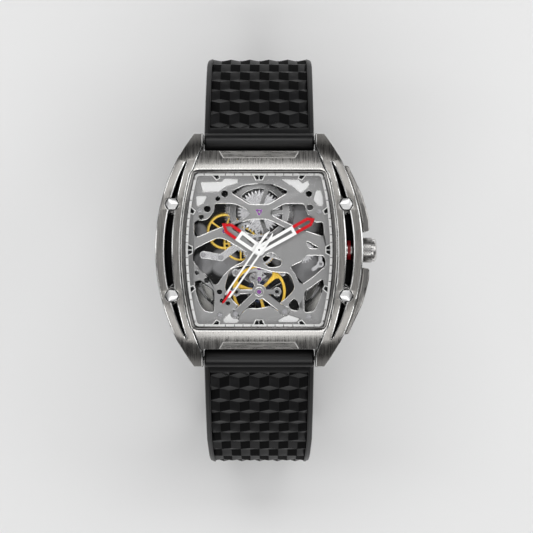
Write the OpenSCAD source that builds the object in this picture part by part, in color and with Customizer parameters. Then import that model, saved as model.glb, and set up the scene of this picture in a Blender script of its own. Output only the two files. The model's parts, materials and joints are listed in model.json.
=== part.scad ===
// Barrel-shaped skeleton automatic wristwatch on a rubber strap.
// The origin is the centre of the back glass, where the watch rests on the wrist.
// X points to the crown, Y to 12 o'clock and Z out of the dial. Sizes are millimetres.

/* [Case] */
// Width over the side rails
case_w = 44.2; // [43.6:0.2:45.4]
// Length from lug tip to lug tip
case_l = 50.6; // [50.2:0.2:52]
// Height of the front plate's face above the back glass
dial_h = 7.6; // [7.6:0.05:7.8]
// Radius of the case sides, seen from above
side_r = 44; // [42:1:48]
// Radius of the arched top, seen from the side
arch_r = 60; // [58:1:66]
// Radius of the lugs, where the arch bends down
lug_r = 14; // [13:0.5:16]
// Distance from the middle at which the arch turns into the lug
bend_y = 18; // [17.5:0.25:18.5]
// Thickness of the side rails and end panels
rail_t = 2.4; // [2:0.1:2.6]
// Step between the edge of the rails and the case body under them
body_inset = 0.5; // [0.3:0.1:0.8]
// Share of a rail's width that lies outside its long slot
edge_share = 0.378; // [0.36:0.005:0.4]
// Share of a rail's width that the long slot takes
slot_share = 0.27; // [0.25:0.005:0.28]
// Half the length of the long slot
slot_l = 20.8; // [20:0.2:21]
// Depth of the long slot under the top of the arch
slot_depth = 7.8; // [6:0.2:8.2]
// Share of a rail's width that a hexagon bolt takes across its corners
bolt_share = 0.528; // [0.48:0.005:0.54]
// Distance of the bolts from the middle, along the rail
bolt_y = 9.75; // [9:0.25:11]
// Gap between the two lugs of one end
lug_gap = 24.2; // [23.6:0.1:24.8]
// Distance of the strap pivots from the middle
bar_y = 23.4; // [23.3:0.1:23.6]
// Height of the strap pivots
bar_z = 2.2; // [2:0.1:2.4]

/* [Window] */
// Width of the window over its frame
window_w = 32.7; // [32.4:0.1:32.9]
// Length of the window over its frame
window_l = 34.1; // [33.8:0.1:34.3]
// Radius of the bowed window sides
window_r = 66; // [63:1:72]
// Radius of the window's corners
window_corner_r = 1.3; // [1:0.1:1.5]
// Width of the polished window frame
frame_w = 0.55; // [0.45:0.05:0.65]
// Thickness of the crystal
crystal_t = 1.2; // [1:0.05:1.3]
// Height of the wall round the front plate
flange_h = 0.45; // [0.42:0.01:0.48]
// Free height between that wall and the crystal's seal at the ends of the window
crystal_clear = 0.24; // [0.2:0.01:0.28]
// Width of the step that carries the minute track
flange_w = 0.6; // [0.5:0.05:0.7]
// Length of an hour marker
marker_l = 1.55; // [1.2:0.05:1.8]

/* [Crown] */
// Crown diameter
crown_d = 5.4; // [5:0.1:5.8]
// Crown length
crown_l = 3.3; // [3:0.1:3.8]
// Number of ribs round the crown
crown_ribs = 32; // [24:2:40]
// Outer diameter of the crown tube
tube_d = 3.4; // [3:0.1:3.6]
// Stem diameter
stem_d = 0.9; // [0.8:0.05:1]
// How far the crown guards stand out beyond the rails
guard_out = 1.4; // [1:0.1:1.8]
// Free height between the crown guards
guard_gap = 7.6; // [7.2:0.1:8.4]

/* [Back] */
// Thickness of the metal back plate
back_t = 0.9; // [0.8:0.05:1]
// Diameter of the view through the back
back_view_d = 25.6; // [24.8:0.2:26]
// Rotor diameter
rotor_d = 25.2; // [24:0.2:26]
// Thickness of the rotor rim
rotor_t = 0.9; // [0.7:0.05:0.95]

/* [Movement] */
// Thickness of the main plate
main_plate_t = 0.7; // [0.6:0.05:0.8]
// Thickness of the skeleton front plate
front_plate_t = 0.7; // [0.6:0.05:0.8]
// Thickness of the thin train wheels
wheel_t = 0.15; // [0.12:0.01:0.16]
// Thickness of the winding wheels
winding_t = 0.2; // [0.15:0.01:0.22]
// Diameter of the balance over its rim
balance_d = 11.5; // [11:0.1:11.6]
// Diameter of the bearing jewels
jewel_d = 0.9; // [0.8:0.05:1]

/* [Hands] */
// Length of the hour hand
hour_l = 9.8; // [9:0.1:10.5]
// Length of the minute hand
minute_l = 13.7; // [13:0.1:14.2]
// Length of the second hand
second_l = 14; // [13.5:0.1:14.3]
// Thickness of a hand
hand_t = 0.2; // [0.15:0.01:0.24]

/* [Strap] */
// Clearance between the strap and the lugs, both sides together
strap_play = 0.4; // [0.3:0.05:0.6]
// Width of the strap at the buckle and at its tip
strap_end_w = 22; // [20:0.5:22]
// Thickness of the strap at the lugs
strap_t = 3; // [2.6:0.1:3.2]
// Thickness of the strap at the buckle and at its tip
strap_end_t = 2.7; // [2.3:0.1:2.8]
// Diameter of the strap holes
hole_d = 2.6; // [2:0.1:3]
// Distance from one strap hole to the next
hole_pitch = 6.5; // [5.5:0.5:7]
// Width of the keepers along the strap
keeper_w = 6; // [5:0.5:6.5]
// Thickness of the keepers
keeper_t = 1.3; // [1:0.1:1.6]

/* [Buckle] */
// Width of the buckle frame
buckle_w = 27; // [26.4:0.2:29]
// Length of the buckle frame from its bar
buckle_l = 13; // [12:0.5:15]
// Thickness of the buckle frame
buckle_t = 2; // [1.8:0.1:2.4]
// Diameter of the buckle bar
buckle_bar_d = 1.5; // [1.3:0.1:1.7]

/* [Hidden] */

$fn = 96;
// Overlap of a cutting tool beyond what it cuts
over = 1;
// Running clearance of small pieces, and the seam between fitted pieces
run_gap = 0.03;
seam = 0.05;

// Heights of the stack, from the wrist to the dial
glass_proud = 0.1;
body_z = glass_proud + back_t;
rotor_z = body_z + 0.5;
main_plate_z = rotor_z + rotor_t + 0.4;
deck = main_plate_z + main_plate_t;
dial_z = dial_h;
front_z = dial_z - front_plate_t;
marker_t = 0.25;
marker_z = dial_z + flange_h;

// Levels of the wheels above the main plate
barrel_level = 0.1;
barrel_h = 1.15;
fourth_level = 1.5;
second_level = 1.8;
third_level = 1.98;
escape_level = 0.85;
balance_level = 2.25;
ratchet_level = 2.45;
minute_level = 2.75;
hour_level = 3;
stem_z = deck + 1.4;

// Outline of the window, and the crystal inside its frame
window_hw = window_w / 2;
window_hl = window_l / 2;
flange_hw = window_hw - frame_w;
flange_hl = window_hl - frame_w;
glass_hw = flange_hw - run_gap;
glass_hl = flange_hl - run_gap;
gasket_t = 0.1;

// The crystal clears the wall round the dial at the ends of the window, and the arch rises from there
glass_under = seam + crystal_t + gasket_t;
case_h = marker_z + crystal_clear + arch_r - sqrt(pow(arch_r - glass_under, 2) - pow(glass_hl, 2));
// Arch of the case top, and the lug arcs, which stand out of it by a hair so that the two arcs cross cleanly
arch_cz = case_h - arch_r;
bend_a = asin(bend_y / arch_r);
lug_lift = 0.004;
lug_cy = (arch_r - lug_r + lug_lift) * sin(bend_a);
lug_cz = arch_cz + (arch_r - lug_r + lug_lift) * cos(bend_a);

// Outlines seen from above
panel_side = 0.35;
panel_bend_y = window_hl - 0.8;
panel_corner = [window_hw - 2.3, window_hl + 0.15];
lug_shoulder_y = 22.4;
panel_end_y = bar_y - 2.15;
strap_wall_y = panel_end_y - 0.1;
rail_w = case_w / 2 - window_hw - panel_side;
rail_edge = edge_share * rail_w;
slot_w = slot_share * rail_w;
slot_out_r = 42.7;
slot_in_r = 1 / (1 / slot_out_r - 2 * slot_w / pow(slot_l, 2));
bolt_d = bolt_share * rail_w;
bolt_tilt = asin(bolt_y / arch_r);
bolt_x = case_w / 2 - rail_w * 2 / 3;
bolt_seat = 0.9;
crown_x = case_w / 2 - 0.1;
least_corner_r = 0.75;
movement_hw = window_hw - seam;
movement_hl = window_hl - seam;
ring_w = 0.8;
plate_hw = movement_hw - ring_w - seam;
plate_hl = movement_hl - ring_w - seam;

// Places of the arbors, seen from the dial
centre_at = [0, 0];
barrel_at = [0, 8.2];
second_at = [-7.4, 4];
third_at = [-3.95, 1.39];
escape_at = [0, -3.85];
pallet_at = [0, -6.25];
balance_at = [0, -8.96];
minute_at = [-3.23, 2.87];
idler_at = [6.15, 2.78];
crown_wheel_at = [9.3, 0];
lever_at = [13.2, -3];
lever_pin_x = 13.2;

// Numbers of teeth
barrel_z = 84;
second_pinion_z = 12;
second_z = 75;
third_pinion_z = 10;
third_z = 80;
fourth_pinion_z = 10;
fourth_z = 70;
escape_pinion_z = 7;
escape_z = 18;
cannon_z = 12;
minute_z = 36;
minute_pinion_z = 10;
hour_z = 40;
ratchet_z = 66;
idler_z = 16;
crown_wheel_z = 26;
winding_pinion_z = 11;

// Straps: each stretch of the centreline is a length and the angle that it turns through
strap_drop = 38;
strap_w = lug_gap - strap_play;
knuckle_r = 2;
upper_path = [[4, 0], [21.6, 20], [23.4, 122], [26, 0]];
lower_path = [[4, 0], [27.9, 20], [36.2, 122], [51.9, 0]];
strap_chamfer = 0.7;
end_knuckle_r = 1.9;
hole_count = 7;
tip_l = 8;
fixed_keeper_s = 9.5;
free_keeper_s = 19.5;
keeper_room = 6.4;
buckle_front_w = 2.4;
buckle_back = 1.5;
tongue_r = 0.75;

// Turns a modulus and two places into the tooth geometry of a pair
function mesh_module(p, q, z1, z2) = 2 * norm(p - q) / (z1 + z2);
function direction(p, q) = atan2(q[1] - p[1], q[0] - p[0]);
function mesh_phase(p, q, z1, z2, phase) =
  let (d = direction(p, q)) d + 180 + ((d - phase) * z1 / 360 + 0.5) * 360 / z2;

barrel_m = mesh_module(barrel_at, second_at, barrel_z, second_pinion_z);
second_m = mesh_module(second_at, third_at, second_z, third_pinion_z);
third_m = mesh_module(third_at, centre_at, third_z, fourth_pinion_z);
fourth_m = mesh_module(centre_at, escape_at, fourth_z, escape_pinion_z);
minute_m = mesh_module(minute_at, centre_at, minute_z, cannon_z);
hour_m = mesh_module(minute_at, centre_at, minute_pinion_z, hour_z);
ratchet_m = mesh_module(barrel_at, idler_at, ratchet_z, idler_z);
crown_m = mesh_module(idler_at, crown_wheel_at, idler_z, crown_wheel_z);

second_pinion_phase = mesh_phase(barrel_at, second_at, barrel_z, second_pinion_z, 0);
third_pinion_phase = mesh_phase(second_at, third_at, second_z, third_pinion_z, 0);
fourth_pinion_phase = mesh_phase(third_at, centre_at, third_z, fourth_pinion_z, 0);
escape_pinion_phase = mesh_phase(centre_at, escape_at, fourth_z, escape_pinion_z, 0);
minute_phase = mesh_phase(centre_at, minute_at, cannon_z, minute_z, 0);
driver_phase = mesh_phase(minute_at, second_at, minute_z, second_pinion_z, minute_phase);
hour_phase = mesh_phase(minute_at, centre_at, minute_pinion_z, hour_z, 0);
idler_phase = mesh_phase(barrel_at, idler_at, ratchet_z, idler_z, 0);
crown_wheel_phase = mesh_phase(idler_at, crown_wheel_at, idler_z, crown_wheel_z, idler_phase);

// Small radii of arbors, their thin pivots and the pipes round the centre
arbor_r = 0.2;
pivot_r = 0.1;
fourth_arbor_r = 0.2;
centre_tube_r = 0.4;
cannon_r = 0.62;
hour_pipe_r = 0.85;
hub_r = 1.8;
barrel_arbor_r = 0.8;

// Hands: heights and the times that they show
hour_hand_z = dial_z + 0.35;
minute_hand_z = hour_hand_z + hand_t + 0.2;
second_hand_z = minute_hand_z + hand_t + 0.2;
hour_a = 305.5;
minute_a = 60.5;
second_a = 214.4;

// Spirals: inner and outer radius, turns and strip
hairspring_r = [0.55, 2.65];
hairspring_turns = 4.5;
hairspring_w = 0.06;
mainspring_r = [1.5, 6.2];
mainspring_turns = 6;
mainspring_w = 0.18;
spiral_steps = 24;

// Corner points of the openings in the front plate, read in the plate's own frame
front_openings = [
  [[-6.15, 12.4], [-3.2, 13.9], [0, 14.2], [3.3, 13.95], [6.4, 12.5], [2.05, 9.8], [-2.05, 9.8]],
  [[-9.57, 9.98], [-5.19, 9.89], [-2.6, 8.66], [-1.97, 7.84], [-2.46, 7.16], [-5.19, 6.07],
   [-10.39, 4.02], [-13.39, 2.79], [-13.88, 3.33], [-13.88, 5.79], [-13.39, 6.2], [-11.07, 6.48],
   [-9.57, 8.25]],
  [[2.6, 8.4], [5.47, 9.9], [9.7, 9.9], [10.1, 7.84], [11.34, 6.89], [12, 5.8], [13.66, 6.07],
   [13.94, 3.33], [13.4, 3.06], [10.4, 4], [6.83, 5.5], [3.28, 7.16], [2.5, 7.84]],
  [[-1.78, 6.56], [1.9, 6.56], [5.88, 4.56], [2.2, 1.97], [0.55, 0.9], [-2.05, 1.69],
   [-3.83, 3.33], [-5.74, 4.43], [-5.19, 5.38], [-3.28, 6.07]],
  [[-13.66, 0.33], [-9.02, 2.57], [-7.5, 2.38], [-4.9, 0.87], [-2.46, -0.63], [-3.14, -2.27],
   [-6, -3.77], [-7.9, -5.7], [-9, -7.46], [-9.8, -7.2], [-11.07, -5.55], [-12.85, -4.05],
   [-14.07, -2.4], [-14.07, -1.04]],
  [[-13.8, -6.8], [-12.6, -6.5], [-9.6, -8.7], [-9.6, -13.3], [-11.5, -13.2], [-12.6, -11.8],
   [-13.6, -8.9]],
  [[13.66, -6.2], [9.7, -8.96], [9.7, -13.4], [11.75, -13.1], [13.1, -10.1], [13.8, -7.3]],
  [[6.56, -3.63], [9.3, -2.4], [9.98, -1.18], [13.9, -1.18], [14.35, -3.2], [12, -5.4],
   [9.3, -7.3], [8.5, -6.8], [7.65, -4.9]],
  [[9.98, 2.1], [12.98, 0.33], [10.66, 0.33]],
  [[0.55, -1.18], [2.73, -0.49], [4.92, -2], [4.65, -3.5], [2.19, -3.77], [0.82, -2.68]],
  [[6.15, -11.7], [7.65, -10.2], [8.6, -11.7], [8.5, -13.06], [6.8, -12.8]]];
opening_corner_r = 0.7;
// The opening over the balance, beside the round part that follows the rim
balance_opening = [
  [-6.2, -3.9], [-2.6, -3.3], [0.3, -3.9], [3, -4.8], [6.56, -4.86], [7.79, -8.28],
  [4.92, -11.15], [0, -12.6], [-4.4, -12.2], [-7.5, -8.4]];
// Polished inlays in the front plate
inlay_outlines = [
  [[-12.7, 14.4], [-7.9, 14.5], [-7.5, 15.2], [-4.4, 15.1], [-4.5, 14.5], [-7.4, 13.6],
   [-8.75, 12.5], [-12.2, 12.5]],
  [[-13.5, 11.5], [-11.2, 11.5], [-11.75, 10.2], [-13.3, 9.35]],
  [[4.65, 15.1], [8.5, 14.95], [9.3, 14.1], [10.4, 14.8], [10.9, 14], [9, 12.2], [7.4, 13.6]],
  [[12.2, 12.7], [13.2, 12.7], [13.6, 11.5], [13.7, 9.5], [12.6, 9.6], [11.6, 10.7]],
  [[-6, -13.3], [-7.8, -15], [-7.5, -15.5], [-4.65, -15.5], [-4.2, -15.2]],
  [[5.7, -12.9], [6.3, -13.9], [8.75, -14.7], [8.1, -15.5], [4.2, -15.5], [4, -15.1],
   [5.5, -14.2]]];
inlay_depth = 0.15;
inlay_corner_r = 0.3;
// Plain round holes in the front plate: place and radius
front_holes = [
  [-7.38, 12.08, 0.74], [-8.83, 10.99, 0.55], [-11.12, 8.8, 0.74], [-12.38, 7.08, 0.55],
  [10.66, 12.03, 0.68], [10.88, 9.13, 0.68], [-8.47, -8.96, 0.6], [-4.78, -14.6, 0.5],
  [-7.93, -10.88, 0.5], [-6.7, -11.4, 0.5], [-11.21, -6.5, 0.6], [-13.3, -4.86, 0.5]];
// Pillars between the main plate and the front plate, each with a screw on top
pillar_places = [[-12.7, 8.4], [12.9, 8.2], [-8.4, -13.9], [10.6, -14.3]];
pillar_r = 0.62;
screw_head_r = 0.55;
screw_head_h = 0.2;
screw_shank_r = 0.25;

// Feet and lobes of the bridges
bridge_feet = [[-5.04, -13.67], [5.49, -13.14]];
bridge_lobes = [[-4.92, -8.96], [3.83, -8.96], [-1.23, -5.96]];
third_bridge_feet = [[-8.2, -1.6], [-12, -1]];
escape_bridge_feet = [[-5, -4.9], [5, -4.8]];
centre_bridge_foot = [5.2, -1.6];
foot_r = 0.8;

// Flat shapes

// The mirror image of a right half, in the order that closes the outline
function flip(points) = [for (i = [len(points) - 1 : -1 : 0]) [-points[i][0], points[i][1]]];
function backwards(points) = [for (i = [len(points) - 1 : -1 : 0]) points[i]];

// A barrel outline: bowed sides, straight ends and rounded corners
function barrel_points(hw, hl, corner) =
  let (r = window_r + hw - window_hw,
       a = asin((hl - corner) / (r - corner)),
       mid = [hw - r + (r - corner) * cos(a), hl - corner],
       turn = [for (i = [0 : 5]) let (t = a + (90 - a) * i / 5) mid + corner * [cos(t), sin(t)]],
       side = [for (i = [1 : 9]) let (t = a * (i / 5 - 1)) [hw - r + r * cos(t), r * sin(t)]],
       low = [for (p = backwards(turn)) [p[0], -p[1]]],
       right = concat(low, side, turn))
  concat(right, flip(right));

module barrel_shape(hw, hl, corner = window_corner_r) {
  polygon(barrel_points(hw, hl, corner));
}

module barrel_ring(hw, hl, width, corner = window_corner_r) {
  difference() {
    barrel_shape(hw, hl, corner);
    barrel_shape(hw - width, hl - width, max(least_corner_r, corner - width));
  }
}

// Rounds every corner of a polygon with a short curve
function soft_corners(points, r, steps = 3) =
  [for (i = [0 : len(points) - 1])
    let (p = points[i],
         a = points[(i + len(points) - 1) % len(points)] - p,
         b = points[(i + 1) % len(points)] - p,
         d = min(r, norm(a) * 0.45, norm(b) * 0.45),
         s = p + d * a / norm(a),
         e = p + d * b / norm(b))
    for (k = [0 : steps]) let (t = k / steps) (1 - t) * (1 - t) * s + 2 * t * (1 - t) * p + t * t * e];

module soft_polygon(points, r) {
  polygon(soft_corners(points, r));
}

// A straight bar with round ends
module bar_shape(p, q, width) {
  translate(p) rotate(direction(p, q)) translate([0, -width / 2]) square([norm(q - p), width]);
  translate(p) circle(d = width);
  translate(q) circle(d = width);
}

// A row of straight-flanked teeth round a circle
function tooth_points(z, root, tip, phase, root_share = 0.3, tip_share = 0.13) =
  [for (i = [0 : z - 1], k = [0 : 3])
    let (outer = k == 1 || k == 2,
         side = k < 2 ? -1 : 1,
         a = phase + 360 / z * (i + side * (outer ? tip_share : root_share)),
         r = outer ? tip : root)
    [r * cos(a), r * sin(a)]];

function gear_points(z, m, phase) = tooth_points(z, m * (z / 2 - 1.15), m * (z / 2 + 0.9), phase);

module gear_shape(z, m, phase) {
  polygon(gear_points(z, m, phase));
}

// A crossed-out wheel: toothed rim, hub and straight arms
module spoked_shape(z, m, phase, rim, hub, arms, arm_w) {
  difference() {
    gear_shape(z, m, phase);
    difference() {
      circle(m * (z / 2 - 1.15) - rim);
      circle(hub);
      for (i = [0 : arms - 1]) rotate(i * 360 / arms) translate([0, -arm_w / 2]) square([m * z / 2, arm_w]);
    }
  }
}

// A spiral strip from the inner to the outer radius
function spiral_point(r, turns, t) = let (q = r[0] + (r[1] - r[0]) * t, a = 360 * turns * t) [q * cos(a), q * sin(a)];
function spiral_line(r, turns) =
  let (n = turns * spiral_steps) [for (i = [0 : n]) spiral_point(r, turns, i / n)];

module spiral_strip(r, turns, width) {
  half = [width / 2, width / 2];
  inner = spiral_line(r - half, turns);
  outer = spiral_line(r + half, turns);
  polygon(concat(inner, backwards(outer)));
}

// Least distance between one turn of a spiral and the next, less the strip
function spiral_gap(r, turns, width) =
  let (line = spiral_line(r, turns), n = len(line))
  min([for (i = [0 : n - spiral_steps - 1], j = [i + spiral_steps / 2 : n - 1]) norm(line[i] - line[j])]) - width;

echo(str("Least gap in the hairspring: ", spiral_gap(hairspring_r, hairspring_turns, hairspring_w)));
echo(str("Least gap in the mainspring: ", spiral_gap(mainspring_r, mainspring_turns, mainspring_w)));

// Solid helpers

// Draws a (y, z) profile and carries it along X over a width centred on the middle
module along_x(width) {
  rotate([90, 0, 90]) linear_extrude(width, center = true) children();
}

module block(z0, z1) {
  translate([0, 0, z0]) linear_extrude(z1 - z0) children();
}

module rod(r, z0, z1) {
  translate([0, 0, z0]) cylinder(r = r, h = z1 - z0);
}

module rod_x(r, x0, x1, y = 0, z = 0) {
  translate([x0, y, z]) rotate([0, 90, 0]) cylinder(r = r, h = x1 - x0);
}

// An arbor with a thin pivot at each end, a little longer than a jewel is thick
module arbor(z0, z1, r = arbor_r) {
  rod(r, z0 + jewel_t + run_gap, z1 - jewel_t - run_gap);
  rod(pivot_r, z0, z1);
}

// Case outlines

// The case seen from above, drawn in by an inset
module case_plan(inset = 0) {
  shift = side_r - case_w / 2;
  intersection() {
    translate([shift, 0]) circle(side_r - inset, $fn = 240);
    translate([-shift, 0]) circle(side_r - inset, $fn = 240);
    square([2 * case_w, case_l], center = true);
  }
}

// The arched case top seen from the side, filled downward and drawn in by an inset
module arch_profile(inset = 0) {
  half = (arch_r - inset) * sin(bend_a);
  intersection() {
    translate([0, arch_cz]) circle(arch_r - inset, $fn = 240);
    translate([-half, -case_h]) square([2 * half, 4 * case_h]);
  }
  for (side = [-1, 1]) translate([side * lug_cy, lug_cz]) circle(lug_r - inset);
}

module arch_solid(inset) {
  along_x(2 * case_w) arch_profile(inset);
}

// The layer between two insets under the arched top
module arch_layer(upper, lower) {
  along_x(2 * case_w) difference() {
    arch_profile(upper);
    arch_profile(lower);
  }
}

// The area between the two rails: the front panel with its window, and the strap gaps
module front_area(grow = 0) {
  side_x = window_hw + panel_side + grow;
  r = window_r + panel_side + grow;
  arc = [for (i = [-8 : 8]) let (y = panel_bend_y * i / 8) [side_x - r + sqrt(r * r - y * y), y]];
  gap_x = lug_gap / 2 + grow;
  upper = [[panel_corner[0] + grow, panel_corner[1]], [gap_x, lug_shoulder_y], [gap_x, case_l]];
  lower = [for (p = backwards(upper)) [p[0], -p[1]]];
  right = concat(lower, arc, upper);
  polygon(concat(right, flip(right)));
}

// The long crescent slot in the right rail
module slot_shape() {
  out_x = case_w / 2 - rail_edge;
  difference() {
    translate([out_x - slot_out_r, 0]) circle(slot_out_r, $fn = 240);
    translate([out_x - slot_w - slot_in_r, 0]) circle(slot_in_r, $fn = 240);
    translate([-2 * slot_in_r, -slot_in_r]) square([2 * slot_in_r, 2 * slot_in_r]);
  }
}

// Puts its children on each bolt of the right rail, standing square to the arch
module at_bolts() {
  for (side = [-1, 1])
    translate([bolt_x, 0, arch_cz]) rotate([-side * bolt_tilt, 0, 0]) translate([0, 0, arch_r]) children();
}

module both_sides() {
  children();
  mirror([1, 0, 0]) children();
}

module both_ends() {
  children();
  mirror([0, 1, 0]) children();
}

// Underside of the case body: flat under the movement, then down to the lug tips
module underside_profile() {
  flat_y = 19.7;
  tip_drop = 1.4;
  both_sides() polygon([
    [-over, -case_h], [-over, body_z], [flat_y, body_z], [flat_y + 1.4, body_z - 0.5 * tip_drop],
    [case_l / 2 - 1.1, body_z - tip_drop], [case_l / 2 + over, body_z + 0.9], [case_l, -case_h]]);
}

// Case

module case_middle() {
  screw_depth = 1.2;
  color("#8f8d8a") difference() {
    intersection() {
      block(-case_h / 2, case_h) case_plan(body_inset);
      along_x(2 * case_w) difference() {
        arch_profile(rail_t);
        underside_profile();
      }
    }
    block(-over, case_h) barrel_shape(movement_hw + seam, movement_hl + seam);
    both_ends() translate([-lug_gap / 2, strap_wall_y, -case_h]) cube([lug_gap, case_l, 3 * case_h]);
    both_sides() difference() {
      block(case_h - slot_depth, case_h) slot_shape();
      at_bolts() rod(bolt_d / 2 - 0.05, -case_h, over);
    }
    both_sides() at_bolts() rod(screw_shank_r * 2 + run_gap, -bolt_seat - 2.6, over);
    rod_x(tube_d / 2, movement_hw - over, case_w, 0, stem_z);
    bar_holes();
    for (p = back_screw_places()) translate(p) rod(0.4, body_z - over, body_z + screw_depth);
  }
}

module case_front() {
  pocket_depth = 0.5;
  lip = 0.08;
  color("#b9b7b3") intersection() {
    block(0, case_h + over) difference() {
      intersection() {
        front_area(-seam);
        square([case_w, 2 * panel_end_y], center = true);
      }
      barrel_shape(window_hw + run_gap, window_hl + run_gap);
    }
    union() {
      arch_layer(lip + pocket_depth, rail_t);
      difference() {
        arch_layer(lip, rail_t - pocket_depth);
        both_ends() block(0, case_h + over) polygon([[-8.5, panel_end_y + over], [-8.5, panel_end_y - 0.1],
          [-7.6, panel_end_y - 1.6], [7.6, panel_end_y - 1.6], [8.5, panel_end_y - 0.1], [8.5, panel_end_y + over]]);
      }
    }
  }
}

module side_rail() {
  color("#a8a6a2") difference() {
    intersection() {
      block(-over, case_h + over) difference() {
        case_plan();
        front_area(seam);
        translate([-2 * case_w, -case_l]) square([2 * case_w, 2 * case_l]);
        slot_shape();
      }
      arch_layer(0, rail_t);
    }
    at_bolts() rod(bolt_d / 2 + seam, -case_h, case_h);
    bar_holes();
  }
}

// Holes in the lugs for the ends of the spring bars
module bar_holes() {
  for (side = [-1, 1]) rod_x(0.5, -lug_gap / 2 - 1.6, lug_gap / 2 + 1.6, side * bar_y, bar_z);
}

module side_rail_right() {
  side_rail();
}

module side_rail_left() {
  mirror([1, 0, 0]) side_rail();
}

// A hexagon head whose top has three flat faces, as the corner of a cube has
module rail_bolt() {
  rise = 0.35;
  slope = 9;
  head_r = bolt_d / 2 - 0.04;
  intersection() {
    translate([0, 0, -bolt_seat]) cylinder(r = head_r, h = bolt_seat + 2 * rise, $fn = 6);
    cube_corner(slope, rise);
  }
  rod(screw_shank_r * 2, -bolt_seat - 2.4, -bolt_seat + 0.1);
}

module cube_corner(slope, rise) {
  intersection() {
    three_face(0, slope, rise);
    three_face(120, slope, rise);
    three_face(240, slope, rise);
  }
}

module three_face(turn, slope, rise) {
  rotate(turn) translate([0, 0, rise]) rotate([0, slope, 0]) translate([-10, -10, -20]) cube(20);
}

module rail_bolts() {
  color("#d5d6d8") both_sides() difference() {
    at_bolts() rail_bolt();
    block(-over, case_h - slot_depth - 0.2) square(2 * case_w, center = true);
  }
}

// Crown guards, crown and stem

// Outline of the upper guard beside the case, seen from above
module guard_shape() {
  out_x = case_w / 2 + guard_out;
  near_y = guard_gap / 2;
  polygon([[case_w / 2 - 2, near_y + 0.5], [out_x - 1, near_y], [out_x - 0.25, near_y + 0.15],
    [out_x, near_y + 0.6], [out_x - 0.1, near_y + 2.6], [out_x - 0.7, near_y + 5.2],
    [out_x - 1.45, near_y + 7.8], [out_x - 2.6, near_y + 10.3], [out_x - 3.8, near_y + 12.9],
    [out_x - 4.35, near_y + 14.2], [case_w / 2 - 5, near_y + 14.4]]);
}

module crown_guard() {
  low_z = 2;
  difference() {
    intersection() {
      block(low_z, case_h) guard_shape();
      arch_solid(1.1);
    }
    block(0, case_h) case_plan(body_inset);
    intersection() {
      block(0, case_h + over) case_plan(-seam);
      arch_layer(-over, rail_t + seam);
    }
  }
}

module crown_guard_upper() {
  color("#8f8d8a") crown_guard();
}

module crown_guard_lower() {
  color("#8f8d8a") mirror([0, 1, 0]) crown_guard();
}

module crown_tube() {
  tube_out = crown_x + 1;
  color("#a8a6a2") difference() {
    rod_x(tube_d / 2, movement_hw + seam, tube_out, 0, stem_z);
    rod_x(stem_d / 2 + seam, movement_hw - over, tube_out + over, 0, stem_z);
  }
}

// The red ring that shows in the slot
module crown_gasket() {
  ring_x = case_w / 2 - rail_edge - slot_w / 2;
  color("#b3121d") difference() {
    rod_x(tube_d / 2 + 0.35, ring_x - 0.35, ring_x + 0.35, 0, stem_z);
    rod_x(tube_d / 2, ring_x - over, ring_x + over, 0, stem_z);
    block(-over, case_h - slot_depth) square(2 * case_w, center = true);
  }
}

module crown() {
  ribbed_l = crown_l - 0.9;
  cap_r = 0.9;
  color("#c9cacc") translate([crown_x, 0, stem_z]) rotate([0, 90, 0]) difference() {
    union() {
      linear_extrude(ribbed_l) polygon(tooth_points(crown_ribs, crown_d / 2 - 0.14, crown_d / 2, 0, 0.32, 0.1));
      translate([0, 0, ribbed_l]) rotate_extrude() intersection() {
        union() {
          translate([crown_d / 2 - 0.1 - cap_r, 0]) circle(cap_r);
          square([crown_d / 2 - 0.1 - cap_r, cap_r]);
        }
        square([crown_d, cap_r]);
      }
    }
    for (i = [0 : 2 : crown_ribs - 1]) rotate(360 / crown_ribs * (i + 0.5))
      translate([crown_d / 2 - 0.2, -0.12, ribbed_l - 0.05]) cube([1, 0.24, cap_r / 2]);
    translate([0, 0, -over]) cylinder(d = tube_d + 2 * seam, h = over + crown_l - 1.4);
    translate([0, 0, -over]) cylinder(d = stem_d, h = over + crown_l - 0.9);
  }
}

module crown_stem() {
  pilot_x = 10.05;
  groove_w = 0.5;
  groove_r = stem_d / 2 - 0.2;
  color("#9a9a9c") difference() {
    union() {
      rod_x(stem_d / 2, pilot_x + 0.55, crown_x + crown_l - 0.9, 0, stem_z);
      rod_x(0.2, pilot_x, pilot_x + 0.6, 0, stem_z);
    }
    difference() {
      rod_x(stem_d, lever_pin_x - groove_w / 2, lever_pin_x + groove_w / 2, 0, stem_z);
      rod_x(groove_r, lever_pin_x - groove_w, lever_pin_x + groove_w, 0, stem_z);
    }
  }
}

// Window

ledge_w = 0.12;
glass_corner_r = max(least_corner_r, window_corner_r - frame_w) + run_gap;

module crystal_frame() {
  color("#d5d6d8") {
    intersection() {
      block(marker_z, case_h + over) barrel_ring(window_hw, window_hl, frame_w);
      arch_solid(0);
    }
    intersection() {
      block(marker_z, case_h) barrel_ring(flange_hw + 0.1, flange_hl + 0.1, ledge_w + 0.1);
      arch_solid(crystal_t + gasket_t + seam);
    }
  }
}

module crystal() {
  color("#e8eef2", 0.3) intersection() {
    block(0, case_h + over) barrel_shape(glass_hw, glass_hl, glass_corner_r);
    arch_layer(seam, seam + crystal_t);
  }
}

module crystal_gasket() {
  color("#2a2a2c") intersection() {
    block(0, case_h) barrel_ring(glass_hw, glass_hl, ledge_w - run_gap, glass_corner_r);
    arch_layer(seam + crystal_t, seam + crystal_t + gasket_t);
  }
}

step_z = marker_z - 0.3;
marker_hw = flange_hw - seam;
marker_hl = flange_hl - seam;
marker_rim = 0.17;

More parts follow.
